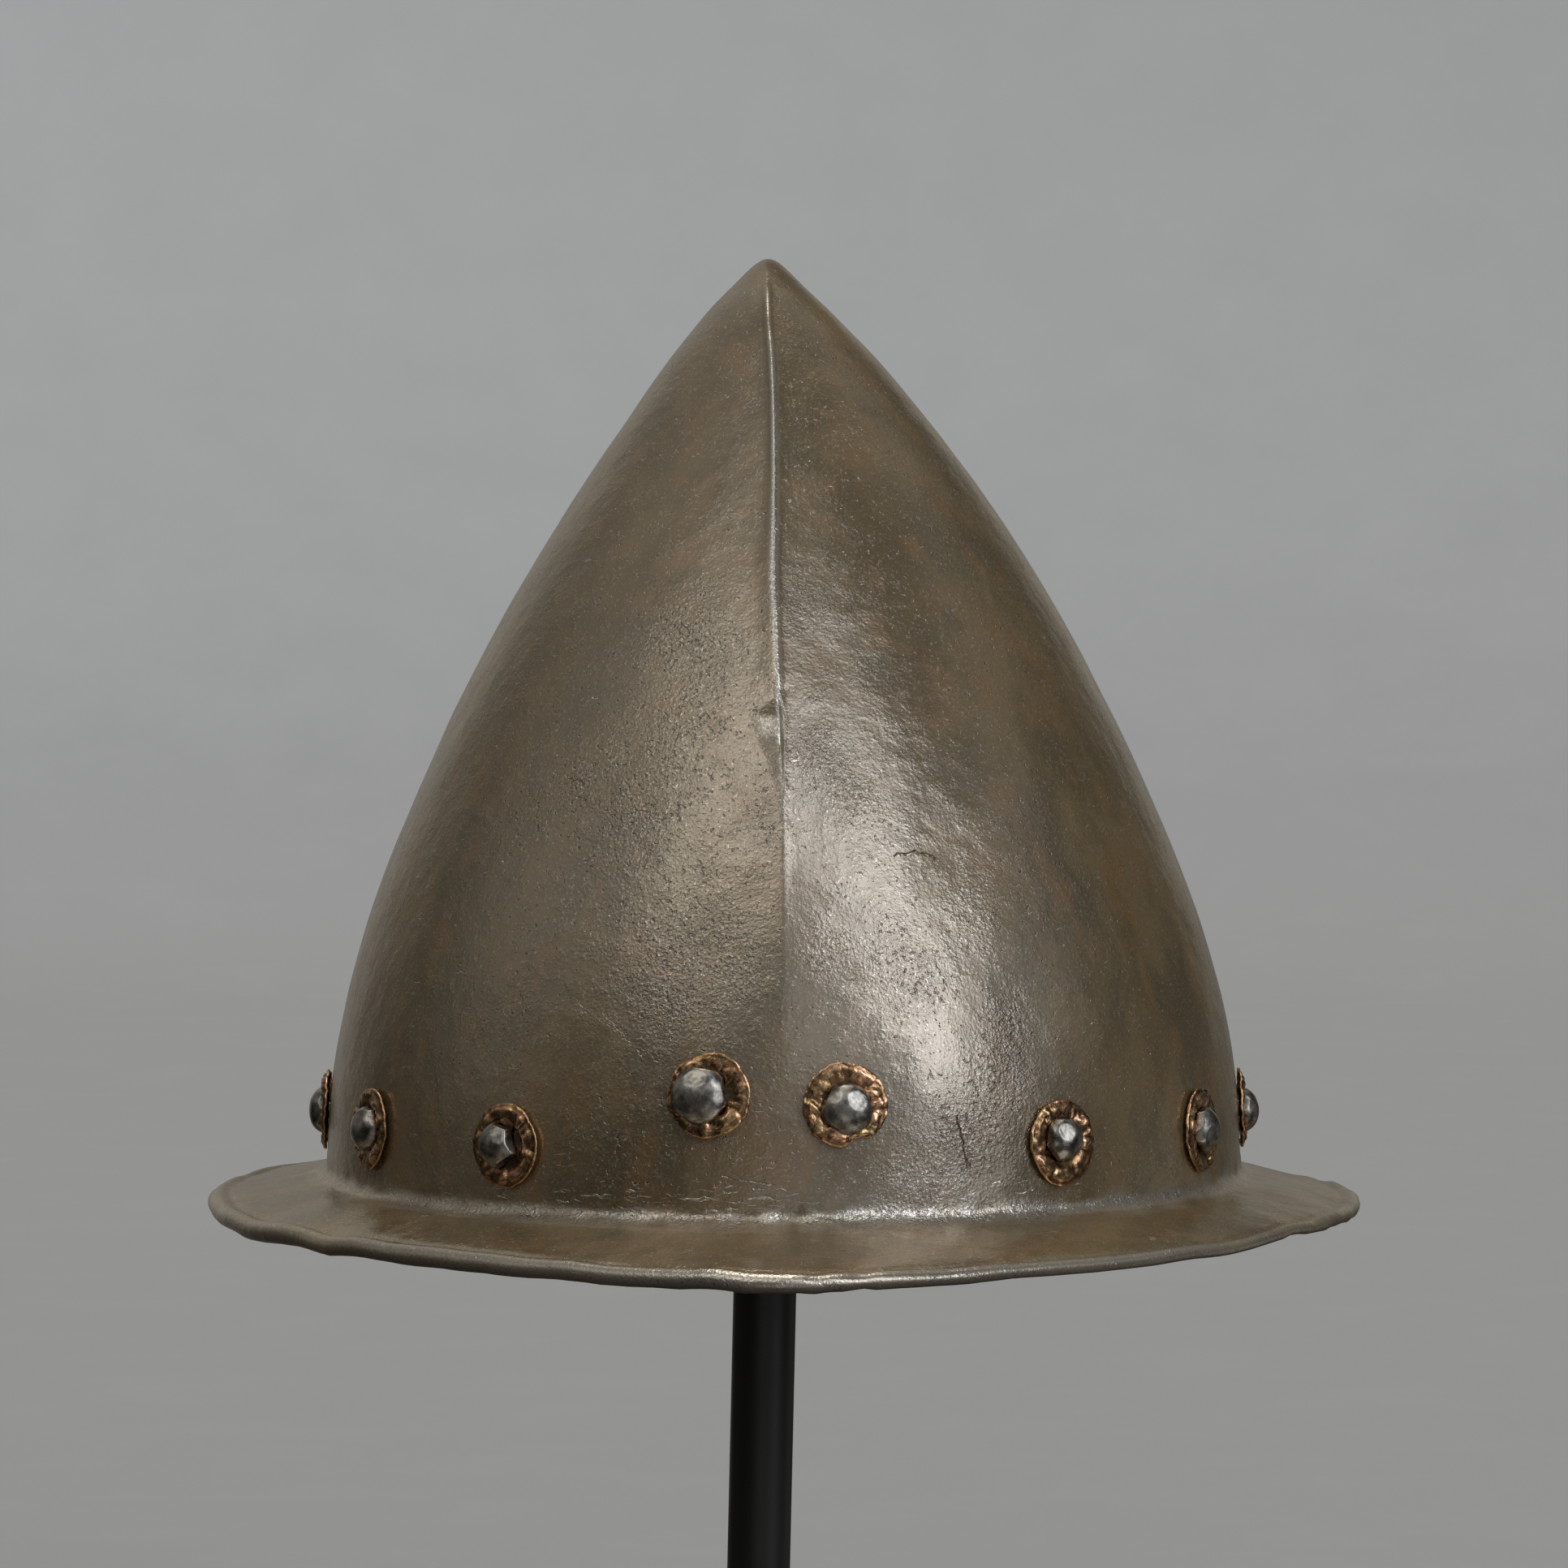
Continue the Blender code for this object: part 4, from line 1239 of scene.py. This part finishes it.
BOWL_COVE = 0.9  # radius of the curve from floor to wall
BOWL_TOP = 2.4  # height of the wall
BOWL_SIDES = 96
COVE_STEPS = 16
CAMERA_HEIGHT = 0.313
AIM = Vector((0, 0, 0.24))  # what the camera points at
SENSOR_WIDTH = 36  # mm


def build_bowl(settings):
    """One seamless sheet: a round floor that curves up into a wall all round. It keeps out of the lamps'
    way: nothing mirrors it and it casts no shadow."""
    start_fresh()
    bpy.ops.mesh.primitive_circle_add(vertices=BOWL_SIDES, radius=BOWL_FLOOR, fill_type="NGON")
    bowl = bpy.context.object
    bowl.name = "backdrop"
    bpy.ops.object.mode_set(mode="EDIT")
    bpy.ops.mesh.select_mode(type="EDGE")
    bpy.ops.mesh.select_all(action="SELECT")
    bpy.ops.mesh.region_to_loop()
    radius, height = BOWL_FLOOR, 0.0
    for step in range(1, COVE_STEPS + 1):
        turn = math.radians(90 * step / COVE_STEPS)
        wider = BOWL_FLOOR + BOWL_COVE * math.sin(turn)
        higher = BOWL_COVE * (1 - math.cos(turn))
        bpy.ops.mesh.extrude_region_move(TRANSFORM_OT_translate={"value": (0, 0, higher - height)})
        bpy.ops.transform.resize(value=(wider / radius, wider / radius, 1), center_override=(0, 0, 0))
        radius, height = wider, higher
    bpy.ops.mesh.extrude_region_move(TRANSFORM_OT_translate={"value": (0, 0, BOWL_TOP - height)})
    bpy.ops.object.mode_set(mode="OBJECT")
    bowl.data.shade_smooth()
    bowl.data.materials.append(seamless_paper(settings))
    bowl.visible_glossy = bowl.visible_diffuse = bowl.visible_shadow = False


def light_sky(world):
    """Paints the soft lamps on the world's sky, the key in one colour and the fill in another."""
    world.use_nodes = True
    world.node_tree.nodes.clear()
    node = partial(add_node, world)
    towards = node("TexCoord").outputs["Generated"]
    towards = node("VectorMath", {"operation": "NORMALIZE"}, towards)
    skies = []
    for boxes, colour, total in ((KEY_BOXES, KEY_COLOUR, 0.0), (FILL_BOXES, FILL_COLOUR, SKY_GLOW)):
        for box in boxes:
            middle = tilted(box.azimuth - 90, 90 - box.elevation)
            steep = 1 / (1 - math.cos(math.radians(box.spread)))
            facing = node("VectorMath", DOT, towards, middle)
            away = node("Math", TIMES_ADD, facing, steep, -steep)
            glow = node("Math", {"operation": "EXPONENT", "label": box.name}, away)
            total = node("Math", TIMES_ADD, glow, box.brightness, total)
        skies.append(node("Background", None, colour, total))
    sky = node("AddShader", None, skies[0], skies[1])
    node("OutputWorld", Surface=sky)


class CABASSET_OT_light_stage(bpy.types.Operator):
    """Sets up the backdrop, the lamps and the camera"""

    bl_idname = "cabasset.light_stage"
    bl_label = "Light the stage"

    def execute(self, context):
        settings = context.scene.cabasset_stage
        build_bowl(settings)
        context.scene.world = bpy.data.worlds.new("studio")
        light_sky(context.scene.world)
        context.scene.view_settings.view_transform = "Standard"

        camera = bpy.data.objects.new("camera", bpy.data.cameras.new("camera"))
        context.scene.collection.objects.link(camera)
        camera.location = (0, -settings.distance, CAMERA_HEIGHT)
        camera.rotation_euler = (camera.location - AIM).to_track_quat("Z", "Y").to_euler()
        camera.data.lens = settings.lens
        camera.data.sensor_width = SENSOR_WIDTH
        context.scene.camera = camera
        return {"FINISHED"}


# ---------------------------------------------------------------- the add-on
class CABASSET_PT_panel(bpy.types.Panel):
    """The settings, and a button for each group of pieces"""

    bl_label = "Cabasset"
    bl_idname = "CABASSET_PT_panel"
    bl_space_type = "VIEW_3D"
    bl_region_type = "UI"
    bl_category = "Cabasset"

    def draw(self, context):
        for name, kind in SETTINGS.items():
            box = self.layout.box()
            for setting in kind.__annotations__:
                box.prop(getattr(context.scene, name), setting)
        for operator in OPERATORS:
            self.layout.operator(operator.bl_idname)


OPERATORS = (
    CABASSET_OT_forge_plate,
    CABASSET_OT_press_rosettes,
    CABASSET_OT_hammer_rivets,
    CABASSET_OT_finish_stand,
    CABASSET_OT_light_stage,
)


def register():
    """Adds the settings, the operators and the panel to Blender."""
    for kind in (*SETTINGS.values(), *OPERATORS, CABASSET_PT_panel):
        bpy.utils.register_class(kind)
    for name, kind in SETTINGS.items():
        setattr(bpy.types.Scene, name, bpy.props.PointerProperty(type=kind))


def unregister():
    """Takes them all out again."""
    for name in SETTINGS:
        delattr(bpy.types.Scene, name)
    for kind in (CABASSET_PT_panel, *OPERATORS, *SETTINGS.values()):
        bpy.utils.unregister_class(kind)


def main():
    """Makes every piece and the stage."""
    register()
    bpy.ops.cabasset.forge_plate()
    bpy.ops.cabasset.press_rosettes()
    bpy.ops.cabasset.hammer_rivets()
    bpy.ops.cabasset.finish_stand()
    bpy.ops.cabasset.light_stage()


if __name__ == "__main__":
    main()
